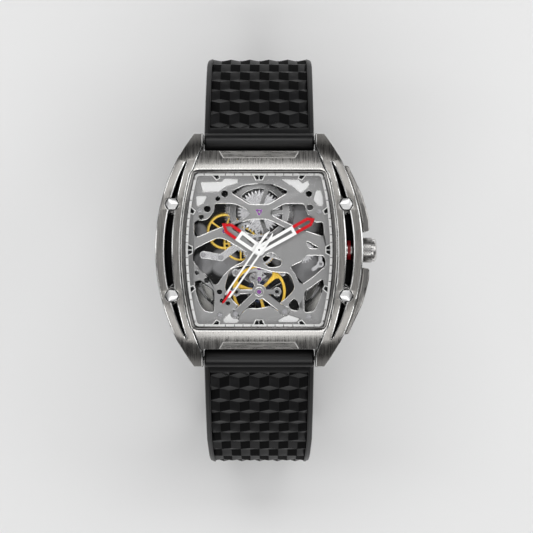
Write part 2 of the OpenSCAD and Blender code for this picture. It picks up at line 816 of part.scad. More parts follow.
// A wall under the window frame, and a lower step inside it that carries the minute track
module minute_flange() {
  color("#e4e4e2") {
    block(dial_z, marker_z) barrel_ring(movement_hw, movement_hl, movement_hw - flange_hw);
    block(dial_z, step_z) barrel_ring(flange_hw + 0.1, flange_hl + 0.1, flange_w + 0.1);
  }
}

// Where a ray from the centre, at an hour, meets the outer edge of the markers
function marker_seat(hour) =
  let (ux = sin(30 * hour),
       uy = cos(30 * hour),
       side_y = abs(uy) < abs(ux) ? marker_hw * uy / abs(ux) : 0,
       side_d = (marker_hw - side_y * side_y / (2 * window_r)) / max(abs(ux), 0.1),
       d = abs(uy) < abs(ux) ? side_d : marker_hl / abs(uy))
  d * [ux, uy];

module at_hour(hour) {
  translate(marker_seat(hour)) rotate(-30 * hour) children();
}

// A marker's flanks, carried on beyond its outer end and drawn in by a rim
module marker_wedge(outer_w, inner_w, rim) {
  beyond = marker_l / 2;
  outer = outer_w / 2 + (outer_w - inner_w) / 2 * beyond / marker_l - rim;
  inner = inner_w / 2 - rim;
  polygon([[-outer, beyond], [-inner, rim - marker_l], [inner, rim - marker_l], [outer, beyond]]);
}

// A white marker with the window for its dark filling, which a bar divides at the quarters
module hour_marker(hour) {
  quarter = hour % 3 == 0;
  outer_w = quarter ? 3.05 : 1.6;
  inner_w = quarter ? 1.6 : 1;
  track_w = flange_w - seam - 0.05;
  difference() {
    intersection() {
      barrel_shape(marker_hw, marker_hl);
      at_hour(hour) marker_wedge(outer_w, inner_w, 0);
    }
    difference() {
      intersection() {
        barrel_shape(marker_hw - track_w, marker_hl - track_w);
        at_hour(hour) marker_wedge(outer_w, inner_w, marker_rim);
      }
      if (quarter) at_hour(hour) translate([-marker_rim / 2, -marker_l]) square([marker_rim, marker_l]);
    }
  }
}

module hour_markers() {
  color("#f2f2f0") block(step_z, step_z + marker_t) for (hour = [1 : 12]) hour_marker(hour);
}

// Front plate and what it carries

module balance_bridge_shape(grow = 0) {
  arm_w = 1.5 + 2 * grow;
  translate(balance_at) circle(1.6 + grow);
  for (foot = bridge_feet) bar_shape(balance_at, foot, arm_w);
  for (foot = bridge_feet) translate(foot) circle(foot_r + 0.2 + grow);
  for (lobe = bridge_lobes) {
    bar_shape(balance_at, lobe, 1 + 2 * grow);
    translate(lobe) circle(0.95 + grow);
  }
}

module front_plate() {
  color("#77797c") difference() {
    union() {
      block(front_z, dial_z) barrel_shape(plate_hw, plate_hl);
      translate(minute_at) rod(0.9, front_z - 0.15, dial_z);
      translate(minute_at) rod(0.28, deck + minute_level - 0.05, front_z);
    }
    difference() {
      block(front_z - over, dial_z + over) {
        for (outline = front_openings) soft_polygon(outline, opening_corner_r);
        soft_polygon(balance_opening, 1.2);
      }
      rod(hub_r, front_z - 2 * over, dial_z + 2 * over);
      translate(minute_at) rod(0.9, front_z - 2 * over, dial_z + 2 * over);
    }
    block(front_z - over, dial_z + over) balance_bridge_shape(0.08);
    block(dial_z - inlay_depth, dial_z + over) for (outline = inlay_outlines)
      soft_polygon(outline, inlay_corner_r);
    rod(hour_pipe_r + seam, front_z - over, dial_z + over);
    for (h = front_holes) translate([h[0], h[1]]) rod(h[2], front_z - over, dial_z + over);
    for (p = pillar_places) translate(p) rod(screw_shank_r + run_gap, front_z - over, dial_z + over);
    translate(second_at) rod(jewel_d / 2, front_z - over, dial_z + over);
    block(front_z - over, dial_z + over) cap_jewel_shape();
  }
}

module bright_inlays() {
  color("#c4c6c8") difference() {
    block(dial_z - inlay_depth, dial_z + 0.05) for (outline = inlay_outlines) inlay_shape(outline);
    block(front_z, dial_z + over) balance_bridge_shape(0.12);
  }
}

// An inlay has the outline of its pocket, drawn a hair smaller towards its own middle
module inlay_shape(outline) {
  mid = [for (k = [0, 1]) average([for (p = outline) p[k]])];
  soft_polygon([for (p = outline) mid + (p - mid) * (1 - run_gap)], inlay_corner_r);
}

function average(list) = list * [for (v = list) 1] / len(list);

module balance_bridge() {
  color("#9c9ea1") {
    difference() {
      block(front_z, dial_z) balance_bridge_shape();
      translate(balance_at) rod(0.95, front_z - over, dial_z + over);
      for (lobe = bridge_lobes) translate(lobe) rod(0.45, front_z - over, dial_z + over);
      for (foot = bridge_feet) translate(foot) rod(screw_shank_r + run_gap, front_z - over, dial_z + over);
    }
    // Shock setting: a lyre ring round the cap jewel
    translate(balance_at) difference() {
      rod(0.95, front_z + 0.1, dial_z + 0.15);
      rod(jewel_d / 2, front_z, dial_z + over);
      for (a = [90, 210, 330]) rotate(a) translate([0.68, 0, dial_z - 0.2]) rod(0.2, 0, over);
    }
    // Stud that holds the outer end of the hairspring
    translate(balance_at + [hairspring_r[1], 0] * -1) rod(0.14, deck + balance_level + 0.6, front_z);
  }
}

module bridge(feet, ends, width, z0, z1, bores) {
  difference() {
    block(z0, z1) {
      for (pair = ends) bar_shape(pair[0], pair[1], width);
      for (foot = feet) translate(foot) circle(foot_r);
    }
    for (b = bores) translate(b) rod(jewel_d / 2, z0 - over, z1 + over);
    for (foot = feet) translate(foot) rod(screw_shank_r + run_gap, z0 - over, z1 + over);
  }
}

third_bridge_z = [deck + 2.3, deck + 2.65];
escape_bridge_z = [deck + 1.9, deck + 2.1];
centre_bridge_z = [deck + 2.35, deck + 2.6];

module third_wheel_bridge() {
  color("#b8babd") bridge(third_bridge_feet, [[third_at, third_bridge_feet[0]], third_bridge_feet], 1.5,
    third_bridge_z[0], third_bridge_z[1], [third_at]);
}

module escape_bridge() {
  color("#b8babd") bridge(escape_bridge_feet,
    [[escape_bridge_feet[0], escape_at], [escape_at, escape_bridge_feet[1]], [escape_at, pallet_at]], 1.3,
    escape_bridge_z[0], escape_bridge_z[1], [escape_at, pallet_at]);
}

// Carries the centre tube, on which the minute and hour pipes turn
module centre_bridge() {
  color("#b8babd") difference() {
    union() {
      block(centre_bridge_z[0], centre_bridge_z[1]) {
        bar_shape(centre_at, centre_bridge_foot, 1.5);
        circle(1);
        translate(centre_bridge_foot) circle(foot_r);
      }
      rod(centre_tube_r, centre_bridge_z[0], minute_hand_z + hand_t - 0.05);
    }
    rod(fourth_arbor_r + run_gap, centre_bridge_z[0] - over, case_h);
    translate(centre_bridge_foot) rod(screw_shank_r + run_gap, centre_bridge_z[0] - over, centre_bridge_z[1] + over);
  }
}

module main_plate() {
  feet = concat([for (p = pillar_places) [p, front_z, pillar_r]],
    [for (p = bridge_feet) [p, front_z, foot_r]],
    [for (p = third_bridge_feet) [p, third_bridge_z[0], foot_r - 0.1]],
    [for (p = escape_bridge_feet) [p, escape_bridge_z[0], 0.6]],
    [[centre_bridge_foot, centre_bridge_z[0], foot_r - 0.1]]);
  corner_ring_r = 15.6;
  color("#8d9094") difference() {
    union() {
      block(main_plate_z, deck) difference() {
        barrel_shape(plate_hw, plate_hl);
        // The lower corners are open outside a curved band
        difference() {
          for (side = [-1, 1]) translate([side * 11.8, -10]) square([4.4, 7.2], center = true);
          circle(corner_ring_r);
        }
        soft_polygon([[-12.9, -7], [-10.2, -8.6], [-10, -11], [-11.4, -10]], 0.5);
        soft_polygon([[12.9, -7], [10.4, -8.8], [10, -11], [11.4, -10]], 0.5);
        translate(balance_at) difference() {
          circle(5.2);
          circle(2.6);
          for (a = [30, 150, 270]) rotate(a) translate([0, -0.8]) square([6, 1.6]);
        }
      }
      for (f = feet) translate(f[0]) rod(f[2], main_plate_z, f[1]);
      translate(crown_wheel_at) rod(0.6, main_plate_z, deck + ratchet_level + winding_t + 0.05);
      translate(idler_at) rod(0.4, main_plate_z, deck + ratchet_level + winding_t + 0.05);
      translate(lever_at) rod(0.3, main_plate_z, deck + 2.35);
      // Blocks that hold the inner end and the middle of the stem
      translate([10.05, -0.7, main_plate_z]) cube([0.45, 1.4, stem_z - main_plate_z + 0.45]);
      translate([12.2, -1, main_plate_z]) cube([0.6, 2, stem_z - main_plate_z + stem_d / 2 + 0.12]);
    }
    rod_x(0.22, 10, 11, 0, stem_z);
    rod_x(stem_d / 2 + seam, 12, 13, 0, stem_z);
    for (p = lower_jewel_places) translate(p) rod(jewel_d / 2, main_plate_z - over, deck + over);
    translate(barrel_at) rod(barrel_arbor_r * 0.75 + run_gap, main_plate_z - over, deck + over);
    for (f = feet) translate(f[0]) rod(screw_shank_r + run_gap, f[1] - 1, f[1] + over);
  }
}

module movement_ring() {
  color("#c7c9cb") difference() {
    block(body_z, dial_z) barrel_ring(movement_hw, movement_hl, ring_w);
    rod_x(stem_d / 2 + 0.15, plate_hw - over, movement_hw + over, 0, stem_z);
  }
}

lower_jewel_places = [second_at, third_at, centre_at, escape_at, pallet_at, balance_at];
jewel_t = 0.3;

// Outline of the cap jewel over the barrel, with three lobes
module cap_jewel_shape() {
  translate(barrel_at) {
    circle(0.52);
    for (a = [30, 150, 270]) rotate(a) translate([0.5, 0]) circle(0.27);
  }
}

module jewel(z0, bore) {
  difference() {
    rod(jewel_d / 2, z0, z0 + jewel_t);
    rod(bore, z0 - over, z0 + jewel_t + over);
  }
}

module jewels() {
  color("#8c2fb8") {
    for (p = lower_jewel_places) translate(p) jewel(deck - jewel_t, pivot_r + run_gap);
    translate(third_at) jewel(third_bridge_z[1] - jewel_t, pivot_r + run_gap);
    for (p = [escape_at, pallet_at]) translate(p) intersection() {
      jewel(escape_bridge_z[0], pivot_r + run_gap);
      block(escape_bridge_z[0], escape_bridge_z[1]) square(4, center = true);
    }
    translate(second_at) jewel(front_z + 0.1, pivot_r + run_gap);
    block(dial_z - jewel_t, dial_z) difference() {
      cap_jewel_shape();
      translate(barrel_at) circle(0.3);
    }
    translate(balance_at) jewel(front_z + 0.1, pivot_r + run_gap);
    translate(balance_at) rod(jewel_d / 2, front_z + 0.1 + jewel_t, dial_z);
  }
}

module slotted_screw(z) {
  difference() {
    rod(screw_head_r, z, z + screw_head_h);
    translate([-screw_head_r - over, -0.08, z + screw_head_h / 2]) cube([2 * screw_head_r + 2 * over, 0.16, over]);
  }
  rod(screw_shank_r, z - 1.1, z);
}

module bridge_screws() {
  color("#b9bcc1") {
    for (p = concat(pillar_places, bridge_feet)) translate(p) slotted_screw(dial_z);
    for (p = third_bridge_feet) translate(p) slotted_screw(third_bridge_z[1]);
    for (p = escape_bridge_feet) translate(p) slotted_screw(escape_bridge_z[1]);
    translate(centre_bridge_foot) slotted_screw(centre_bridge_z[1]);
  }
}

// Barrel and winding train

module barrel_drum() {
  wall = 0.4;
  floor_t = 0.15;
  drum_r = barrel_m * (barrel_z / 2 - 1.15) - 0.35;
  z0 = deck + barrel_level;
  color("#a9a9a6") translate(barrel_at) difference() {
    union() {
      block(z0 + 0.1, z0 + 0.55) gear_shape(barrel_z, barrel_m, 0);
      rod(drum_r, z0, z0 + barrel_h);
    }
    rod(drum_r - wall, z0 + floor_t, z0 + barrel_h + over);
    rod(barrel_arbor_r + run_gap, z0 - over, z0 + barrel_h + over);
  }
}

module barrel_cover() {
  drum_r = barrel_m * (barrel_z / 2 - 1.15) - 0.35;
  z0 = deck + barrel_level + barrel_h;
  color("#c2c3c3") translate(barrel_at) difference() {
    rod(drum_r, z0, z0 + 0.13);
    rod(barrel_arbor_r + run_gap, z0 - over, z0 + over);
  }
}

module barrel_arbor() {
  z0 = deck + barrel_level;
  color("#b0b1b3") translate(barrel_at) {
    rod(barrel_arbor_r * 0.75, main_plate_z + 0.2, deck + 0.05);
    rod(barrel_arbor_r, deck + 0.05, deck + ratchet_level);
    rod(barrel_arbor_r * 0.6, deck + ratchet_level - over, deck + ratchet_level + winding_t + 0.1);
    rod(mainspring_r[0] - mainspring_w / 2 - 0.1, z0 + 0.2, z0 + barrel_h - 0.05);
    // The pointed wheel that shows between the spokes of the ratchet wheel
    block(deck + ratchet_level - 0.25, deck + ratchet_level - 0.05)
      polygon(tooth_points(36, 3.9, 4.7, 0, 0.46, 0.04));
  }
}

module mainspring() {
  z0 = deck + barrel_level;
  color("#6d7076") translate(barrel_at) block(z0 + 0.22, z0 + barrel_h - 0.1)
    spiral_strip(mainspring_r, mainspring_turns, mainspring_w);
}

module ratchet_wheel() {
  z0 = deck + ratchet_level;
  color("#b3b5b7") translate(barrel_at) difference() {
    block(z0, z0 + winding_t) spoked_shape(ratchet_z, ratchet_m, 0, 1.3, 1.7, 5, 0.9);
    rod(barrel_arbor_r * 0.6, z0 - over, z0 + over);
  }
}

module winding_idler() {
  z0 = deck + ratchet_level;
  color("#b3b5b7") translate(idler_at) difference() {
    block(z0, z0 + winding_t) gear_shape(idler_z, ratchet_m, idler_phase);
    rod(0.4 + run_gap, z0 - over, z0 + over);
  }
}

face_teeth_h = 0.3;

// A flat wheel with a second row of teeth on its lower face, which the winding pinion drives
module winding_crown_wheel() {
  z0 = deck + ratchet_level;
  color("#b3b5b7") translate(crown_wheel_at) difference() {
    union() {
      block(z0, z0 + winding_t) gear_shape(crown_wheel_z, crown_m, crown_wheel_phase);
      block(z0 - face_teeth_h, z0) difference() {
        polygon(tooth_points(crown_wheel_z, 1.7, 2.4, 180 / crown_wheel_z, 0.24, 0.2));
        circle(1.9);
      }
      rod(0.95, z0 - 0.2, z0);
    }
    rod(0.6 + run_gap, z0 - over, z0 + over);
  }
}

module winding_pinion() {
  pinion_x = crown_wheel_at[0] + 1.9;
  pinion_r = stem_pinion_r();
  color("#c0a45a") translate([pinion_x, 0, stem_z]) rotate([0, 90, 0]) difference() {
    linear_extrude(0.5) polygon(tooth_points(winding_pinion_z, pinion_r - 0.2, pinion_r + 0.09, 180, 0.24, 0.12));
    translate([0, 0, -over]) cylinder(d = stem_d + run_gap, h = 3 * over);
  }
}

function stem_pinion_r() = ratchet_level - 1.4 - face_teeth_h / 2 - 0.02;

module setting_lever() {
  z0 = deck + 2.05;
  t = 0.22;
  pin = [lever_pin_x, 0];
  color("#a7a9ab") difference() {
    union() {
      block(z0, z0 + t) {
        bar_shape(lever_at, pin, 0.85);
        bar_shape(lever_at, lever_at + [-1.5, -1.1], 0.8);
        translate(lever_at) circle(0.75);
      }
      translate(pin) rod(0.2, stem_z + stem_d / 2 - 0.15, z0 + t);
    }
    translate(lever_at) rod(0.3 + run_gap, z0 - over, z0 + over);
  }
}

// Going train

module second_wheel() {
  z0 = deck + second_level;
  color("#d9b23c") translate(second_at) {
    block(z0, z0 + wheel_t) spoked_shape(second_z, second_m, 0, 0.35, 1, 5, 0.36);
    block(deck + barrel_level + 0.02, z0) gear_shape(second_pinion_z, barrel_m, second_pinion_phase);
    block(deck + minute_level, deck + minute_level + wheel_t) gear_shape(second_pinion_z, minute_m, driver_phase);
    arbor(deck - jewel_t, front_z + 0.25, 0.3);
  }
}

module third_wheel() {
  z0 = deck + third_level;
  color("#e3bd4a") translate(third_at) {
    block(z0, z0 + wheel_t) spoked_shape(third_z, third_m, 0, 0.32, 0.8, 4, 0.34);
    block(deck + second_level - 0.06, z0) gear_shape(third_pinion_z, second_m, third_pinion_phase);
    arbor(deck - jewel_t, third_bridge_z[1] - 0.05);
  }
}

module fourth_wheel() {
  z0 = deck + fourth_level;
  color("#d9b23c") {
    block(z0, z0 + wheel_t) spoked_shape(fourth_z, fourth_m, 0, 0.3, 0.7, 5, 0.32);
    block(z0 + 0.3, deck + third_level + wheel_t + 0.1) gear_shape(fourth_pinion_z, third_m, fourth_pinion_phase);
    rod(pivot_r, deck - jewel_t, deck + 0.2);
    rod(fourth_arbor_r, deck + 0.05, second_hand_z + hand_t * 0.6);
  }
}

module escape_wheel() {
  r = 2;
  z0 = deck + escape_level;
  points = [for (i = [0 : escape_z - 1], k = [0 : 3])
    let (a = 360 / escape_z * i + [0, 4.2, 8, 9.2][k], q = [r - 0.52, r, r - 0.07, r - 0.52][k])
    [q * cos(a), q * sin(a)]];
  color("#c9ccd0") translate(escape_at) {
    block(z0, z0 + wheel_t) difference() {
      polygon(points);
      difference() {
        circle(r - 0.75);
        circle(0.5);
        for (a = [0 : 90 : 270]) rotate(a) translate([0, -0.12]) square([r, 0.24]);
      }
    }
    block(z0 + 0.3, escape_bridge_z[0] - 0.06) gear_shape(escape_pinion_z, fourth_m, escape_pinion_phase);
    arbor(deck - jewel_t, escape_bridge_z[1] - 0.02, 0.14);
  }
}

// The lever that locks the escape wheel: two arms with stones, and a fork towards the balance
module pallet_fork() {
  z0 = deck + escape_level;
  t = 0.25;
  arm = [1.3, 0.62];
  fork_y = balance_at[1] - pallet_at[1] + 0.98;
  color("#b9bcc1") translate(pallet_at) {
    block(z0, z0 + t) difference() {
      union() {
        circle(0.42);
        bar_shape([0, 0], arm, 0.42);
        bar_shape([0, 0], [-arm[0], arm[1]], 0.42);
        bar_shape([0, 0], [0, fork_y + 0.45], 0.26);
        polygon([[-0.2, fork_y + 0.5], [-0.42, fork_y], [0.42, fork_y], [0.2, fork_y + 0.5]]);
      }
      translate([-0.15, fork_y - over]) square([0.3, over + 0.3]);
    }
    // Stones
    block(z0 - 0.02, z0 + t + 0.03) for (side = [-1, 1])
      translate([side * arm[0], arm[1]]) rotate(side * -30) square([0.3, 0.42], center = true);
    arbor(deck - jewel_t, escape_bridge_z[1] - 0.02, 0.14);
  }
}

module balance_wheel() {
  rim_w = 0.6;
  rim_h = 0.5;
  r = balance_d / 2;
  z0 = deck + balance_level;
  roller_z = deck + escape_level + 0.35;
  color("#dcb548") translate(balance_at) {
    difference() {
      rod(r, z0, z0 + rim_h);
      rod(r - rim_w, z0 - over, z0 + over);
    }
    block(z0 + 0.1, z0 + 0.35) {
      circle(0.8);
      for (a = [45, 165, 285]) rotate(a)
        polygon([[0, -0.42], [2.8, -0.3], [r - rim_w - 0.7, -0.5], [r - rim_w + 0.1, -1.15],
          [r - rim_w + 0.1, 1.15], [r - rim_w - 0.7, 0.5], [2.8, 0.3], [0, 0.42]]);
    }
    // Staff, roller and impulse pin
    arbor(deck - jewel_t, front_z + 0.1 + jewel_t, 0.25);
    rod(1, roller_z, roller_z + 0.15);
    translate([0, -0.8]) rod(0.12, roller_z - 0.3, roller_z);
    // Collet that holds the inner end of the hairspring
    rod(hairspring_r[0], z0 + rim_h + 0.1, z0 + rim_h + 0.35);
  }
}

module hairspring() {
  z0 = deck + balance_level + 0.65;
  color("#3f6fb5") translate(balance_at) block(z0, z0 + 0.15)
    spiral_strip(hairspring_r + [hairspring_w / 2, -hairspring_w / 2 - 0.14], hairspring_turns, hairspring_w);
}

// Motion work and hands

module pipe(outer, inner, z0, z1) {
  difference() {
    rod(outer, z0, z1);
    rod(inner, z0 - over, z1 + over);
  }
}

module cannon_pinion() {
  z0 = deck + minute_level;
  color("#c0a45a") difference() {
    union() {
      block(z0 - 0.03, z0 + wheel_t + 0.03) gear_shape(cannon_z, minute_m, 0);
      rod(cannon_r, z0, minute_hand_z + hand_t);
    }
    rod(centre_tube_r + run_gap, z0 - over, case_h);
  }
}

module minute_wheel() {
  z0 = deck + minute_level;
  color("#d9b23c") translate(minute_at) difference() {
    union() {
      block(z0, z0 + wheel_t) spoked_shape(minute_z, minute_m, minute_phase, 0.4, 1, 4, 0.4);
      block(z0, deck + hour_level + 0.2) gear_shape(minute_pinion_z, hour_m, 0);
    }
    rod(0.28 + run_gap, z0 - over, z0 + over);
  }
}

module hour_wheel() {
  z0 = deck + hour_level;
  color("#d9b23c") difference() {
    union() {
      block(z0, z0 + wheel_t) spoked_shape(hour_z, hour_m, hour_phase, 0.4, 1.3, 5, 0.4);
      rod(hour_pipe_r, z0, hour_hand_z + hand_t);
    }
    rod(cannon_r + run_gap, z0 - over, case_h);
  }
}

// A skeleton hand: a slotted bar with a pointed, open tip, on a round hub
module skeleton_hand(z, length, width, split, shoulder, hub, bore, frame) {
  root = width * 0.46;
  slot = width / 2 - frame;
  bar = frame / 2;
  slope = (length - shoulder) / (width / 2);
  difference() {
    union() {
      rod(hub, z, z + hand_t);
      block(z, z + hand_t) polygon([[-root, 0], [-width / 2, split], [-width / 2, shoulder], [0, length],
        [width / 2, shoulder], [width / 2, split], [root, 0]]);
    }
    block(z - over, z + over) {
      polygon([[-slot * 0.8, hub + 0.25], [-slot, split - bar], [slot, split - bar], [slot * 0.8, hub + 0.25]]);
      polygon([[-slot, split + bar], [-slot, shoulder - 0.2 * frame], [0, shoulder - 0.2 * frame + slope * slot],
        [slot, shoulder - 0.2 * frame], [slot, split + bar]]);
    }
    rod(bore, z - over, z + over);
  }
}

module hour_hand() {
  color("#f2f2f0") rotate(-hour_a)
    skeleton_hand(hour_hand_z, hour_l, 2.45, hour_l * 0.52, hour_l - 1.8, 1.25, hour_pipe_r, 0.66);
}

module minute_hand() {
  color("#f2f2f0") rotate(-minute_a)
    skeleton_hand(minute_hand_z, minute_l, 2.05, minute_l * 0.61, minute_l - 1.4, 1, cannon_r, 0.66);
}

module second_hand() {
  tail_l = 4.6;
  bars_l = second_l - 2.1;
  z = second_hand_z;
  t = hand_t * 0.75;
  color("#e8e8e6") rotate(-second_a) difference() {
    union() {
      rod(0.85, z, z + t);
      block(z, z + t) polygon([[-0.48, -tail_l], [-0.95, -0.75 * tail_l], [-0.85, 0], [-0.7, bars_l],
        [-0.25, bars_l + 0.3], [-0.25, second_l - 0.6], [0, second_l], [0.25, second_l - 0.6],
        [0.25, bars_l + 0.3], [0.7, bars_l], [0.85, 0], [0.95, -0.75 * tail_l], [0.48, -tail_l]]);
    }
    block(z - over, z + over) {
      polygon([[-0.42, 1], [-0.36, bars_l - 1.4], [0.36, bars_l - 1.4], [0.42, 1]]);
      polygon([[-0.3, -tail_l - over], [-0.42, -1], [0.42, -1], [0.3, -tail_l - over]]);
    }
    rod(fourth_arbor_r, z - over, z + over);
  }
}

// Back of the watch

rotor_bearing_r = 1;

module rotor() {
  r = rotor_d / 2;
  rim_in = r - 2.4;
  color("#b5b6b8") difference() {
    union() {
      block(rotor_z, rotor_z + rotor_t) difference() {
        circle(r);
        circle(rim_in);
        translate([-2 * r, 0]) square([4 * r, 2 * r]);
      }
      block(rotor_z + rotor_t / 2, rotor_z + rotor_t) difference() {
        union() {
          difference() {
            circle(rim_in + 0.5);
            translate([-2 * r, 0]) square([4 * r, 2 * r]);
          }
          circle(2.6);
        }
        for (a = [-150, -110, -70, -30]) soft_wedge(a, 28, 3.6, rim_in - 0.9);
      }
      rod(2.2, rotor_z + 0.25, rotor_z + rotor_t);
    }
    rod(rotor_bearing_r + run_gap, rotor_z - over, rotor_z + 3 * over);
  }
}

// A window between two radii, with soft corners
module soft_wedge(a, width, r0, r1) {
  rotate(a) soft_polygon(concat(
    [for (i = [-1, 1]) r0 * [cos(i * width / 2), sin(i * width / 2)]],
    [for (i = [1, 0, -1]) r1 * [cos(i * width / 2), sin(i * width / 2)]]), 0.8);
}

module rotor_screw() {
  color("#c0c2c5") {
    rod(rotor_bearing_r, rotor_z + 0.15, main_plate_z);
    rod(1.5, rotor_z, rotor_z + 0.2);
  }
}

back_hw = 19.3;
back_hl = 19.6;
glass_t = 0.6;
glass_r = back_view_d / 2 + 0.7;

function back_screw_places() = [for (x = [-1, 1], y = [-1, 1]) [x * 8.8, y * (movement_hl + 1.45)]];

module case_back() {
  color("#9d9b98") difference() {
    block(glass_proud, body_z) intersection() {
      barrel_shape(back_hw, back_hl, 4);
      case_plan(body_inset + 0.25);
    }
    rod(back_view_d / 2, 0, body_z + over);
    rod(glass_r + run_gap, 0, glass_t + 0.1);
    for (p = back_screw_places()) translate(p) {
      rod(0.43, 0, body_z + over);
      rod(0.85, 0, glass_proud + 0.35);
    }
  }
}

module back_glass() {
  color("#e8eef2", 0.3) rod(glass_r, 0, glass_t);
  color("#2a2a2c") pipe(glass_r, back_view_d / 2 + 0.05, glass_t, glass_t + 0.1);
}

module back_screws() {
  color("#b9bcc1") for (p = back_screw_places()) translate(p) {
    difference() {
      rod(0.8, glass_proud + 0.02, glass_proud + 0.35);
      translate([-1, -0.1, 0]) cube([2, 0.2, glass_proud + 0.15]);
    }
    rod(0.38, glass_proud + 0.3, body_z + 1);
  }
}

// Straps

function step_list(path) =
  [for (g = path) let (n = max(1, ceil(abs(g[1]) / 7))) for (i = [1 : n]) [g[0] / n, g[1] / n]];
// A station is y, z, the downward heading and the distance run so far
function advance(p, step) =
  abs(step[1]) < 0.01
  ? [p[0] + step[0] * cos(p[2]), p[1] - step[0] * sin(p[2]), p[2], p[3] + step[0]]
  : let (r = step[0] / step[1] * 180 / PI, b = p[2] + step[1])
    [p[0] + r * (sin(b) - sin(p[2])), p[1] - r * (cos(p[2]) - cos(b)), b, p[3] + step[0]];
function stations(steps, p, i = 0) =
  i == len(steps) ? [p] : concat([p], stations(steps, advance(p, steps[i]), i + 1));

strap_start = [bar_y, bar_z, strap_drop, 0];
// The tip narrows in short steps along its last stretch
tip_steps = [for (i = [1 : 6]) [tip_l / 6, 0]];
lower_run = [for (i = [0 : len(lower_path) - 1])
  i == len(lower_path) - 1 ? [lower_path[i][0] - tip_l, 0] : lower_path[i]];
upper_stations = stations(step_list(upper_path), strap_start);
lower_stations = stations(concat(step_list(lower_run), tip_steps), strap_start);
upper_end = upper_stations[len(upper_stations) - 1];
lower_end = lower_stations[len(lower_stations) - 1];

function mix(a, b, t) = a + (b - a) * min(1, max(0, t));
// The strap narrows and thins between two distances from its lugs
taper_from = 26;
taper_to = 50;
function taper_share(s) = (s - taper_from) / (taper_to - taper_from);
function strap_half_w(s) = mix(strap_w, strap_end_w, taper_share(s)) / 2;
function strap_half_t(s) = mix(strap_t, strap_end_t, taper_share(s)) / 2;
function tip_share(s, length) = let (u = max(0, (s - length + tip_l) / tip_l)) sqrt(max(0.02, 1 - u * u * 0.97));

// Eight corners of a chamfered strap section: across the strap and out from the wrist
function section(w, t) =
  let (c = min(strap_chamfer, t * 0.6, w * 0.5))
  [[w, t - c], [w - c, t], [c - w, t], [-w, t - c], [-w, c - t], [c - w, -t], [w - c, -t], [w, c - t]];
function ring(p, w, t) =
  [for (q = section(w, t)) [q[0], p[0] + q[1] * sin(p[2]), p[1] + q[1] * cos(p[2])]];

module sweep(rings) {
  n = len(rings[0]);
  last = len(rings) - 1;
  points = [for (r = rings) for (p = r) p];
  walls = [for (i = [0 : last - 1], k = [0 : n - 1])
    let (a = i * n + k, b = i * n + (k + 1) % n) each [[a, b, b + n], [a, b + n, a + n]]];
  caps = [[for (k = [n - 1 : -1 : 0]) k], [for (k = [0 : n - 1]) last * n + k]];
  polyhedron(points, concat(walls, caps));
}

module at_station(p) {
  translate([0, p[0], p[1]]) rotate([-p[2], 0, 0]) children();
}

module spring_bar() {
  tip = 1.3;
  rod_x(0.9, -strap_w / 2 + 0.1, strap_w / 2 - 0.1, bar_y, bar_z);
  rod_x(0.45, -lug_gap / 2 - tip, lug_gap / 2 + tip, bar_y, bar_z);
}

module lug_spring_bars() {
  color("#b9bcc1") both_ends() spring_bar();
}

// The rounded end of a strap round its spring bar
module lug_knuckle() {
  rod_x(knuckle_r, -strap_w / 2, strap_w / 2, bar_y, bar_z);
}

module bar_bore() {
  rod_x(0.95, -strap_w, strap_w, bar_y, bar_z);
}

// A loop round both straps, with its opening a little below the lower face of the upper one
module keeper_band(w) {
  inner_w = w + 0.7;
  middle = keeper_room / 2 - strap_end_t / 2 - 0.25;
  rotate([90, 0, 0]) linear_extrude(keeper_w, center = true) translate([0, middle]) difference() {
    soft_box(inner_w + 2 * keeper_t, keeper_room + 2 * keeper_t, 2);
    soft_box(inner_w, keeper_room, 1);
  }
}

module soft_box(w, h, r) {
  polygon(soft_corners([[-w / 2, -h / 2], [w / 2, -h / 2], [w / 2, h / 2], [-w / 2, h / 2]], r));
}

// A place on the straight end of the upper strap, at a distance back from the buckle bar
module on_upper_end(back) {
  at_station(upper_end) translate([0, -back, 0]) children();
}

module strap_upper() {
  tongue_gap = 3.2;
  color("#1b1b1d") {
    difference() {
      union() {
        sweep([for (p = upper_stations) ring(p, strap_half_w(p[3]), strap_half_t(p[3]))]);
        lug_knuckle();
        on_upper_end(0) rod_x(end_knuckle_r, -strap_end_w / 2, strap_end_w / 2);
      }
      bar_bore();
      on_upper_end(0) {
        rod_x(buckle_bar_d / 2 + seam, -strap_w, strap_w);
        translate([-tongue_gap / 2, -5, -5]) cube([tongue_gap, 10, 10]);
      }
    }
    // Fixed keeper, moulded on the edges of the strap
    on_upper_end(fixed_keeper_s) keeper_band(strap_end_w - 0.7);
  }
}

module strap_lower() {
  length = lower_end[3];
  color("#1b1b1d") mirror([0, 1, 0]) difference() {
    union() {
      sweep([for (p = lower_stations)
        ring(p, strap_half_w(p[3]) * tip_share(p[3], length), strap_half_t(p[3]))]);
      lug_knuckle();
    }
    bar_bore();
    for (i = [0 : hole_count - 1])
      at_station(lower_end) translate([0, -tip_l - 2 - i * hole_pitch, 0]) rod(hole_d / 2, -strap_t, strap_t);
  }
}

module free_keeper() {
  color("#1b1b1d") on_upper_end(free_keeper_s) keeper_band(strap_end_w);
}

// Buckle, drawn from its bar with Y away from the strap

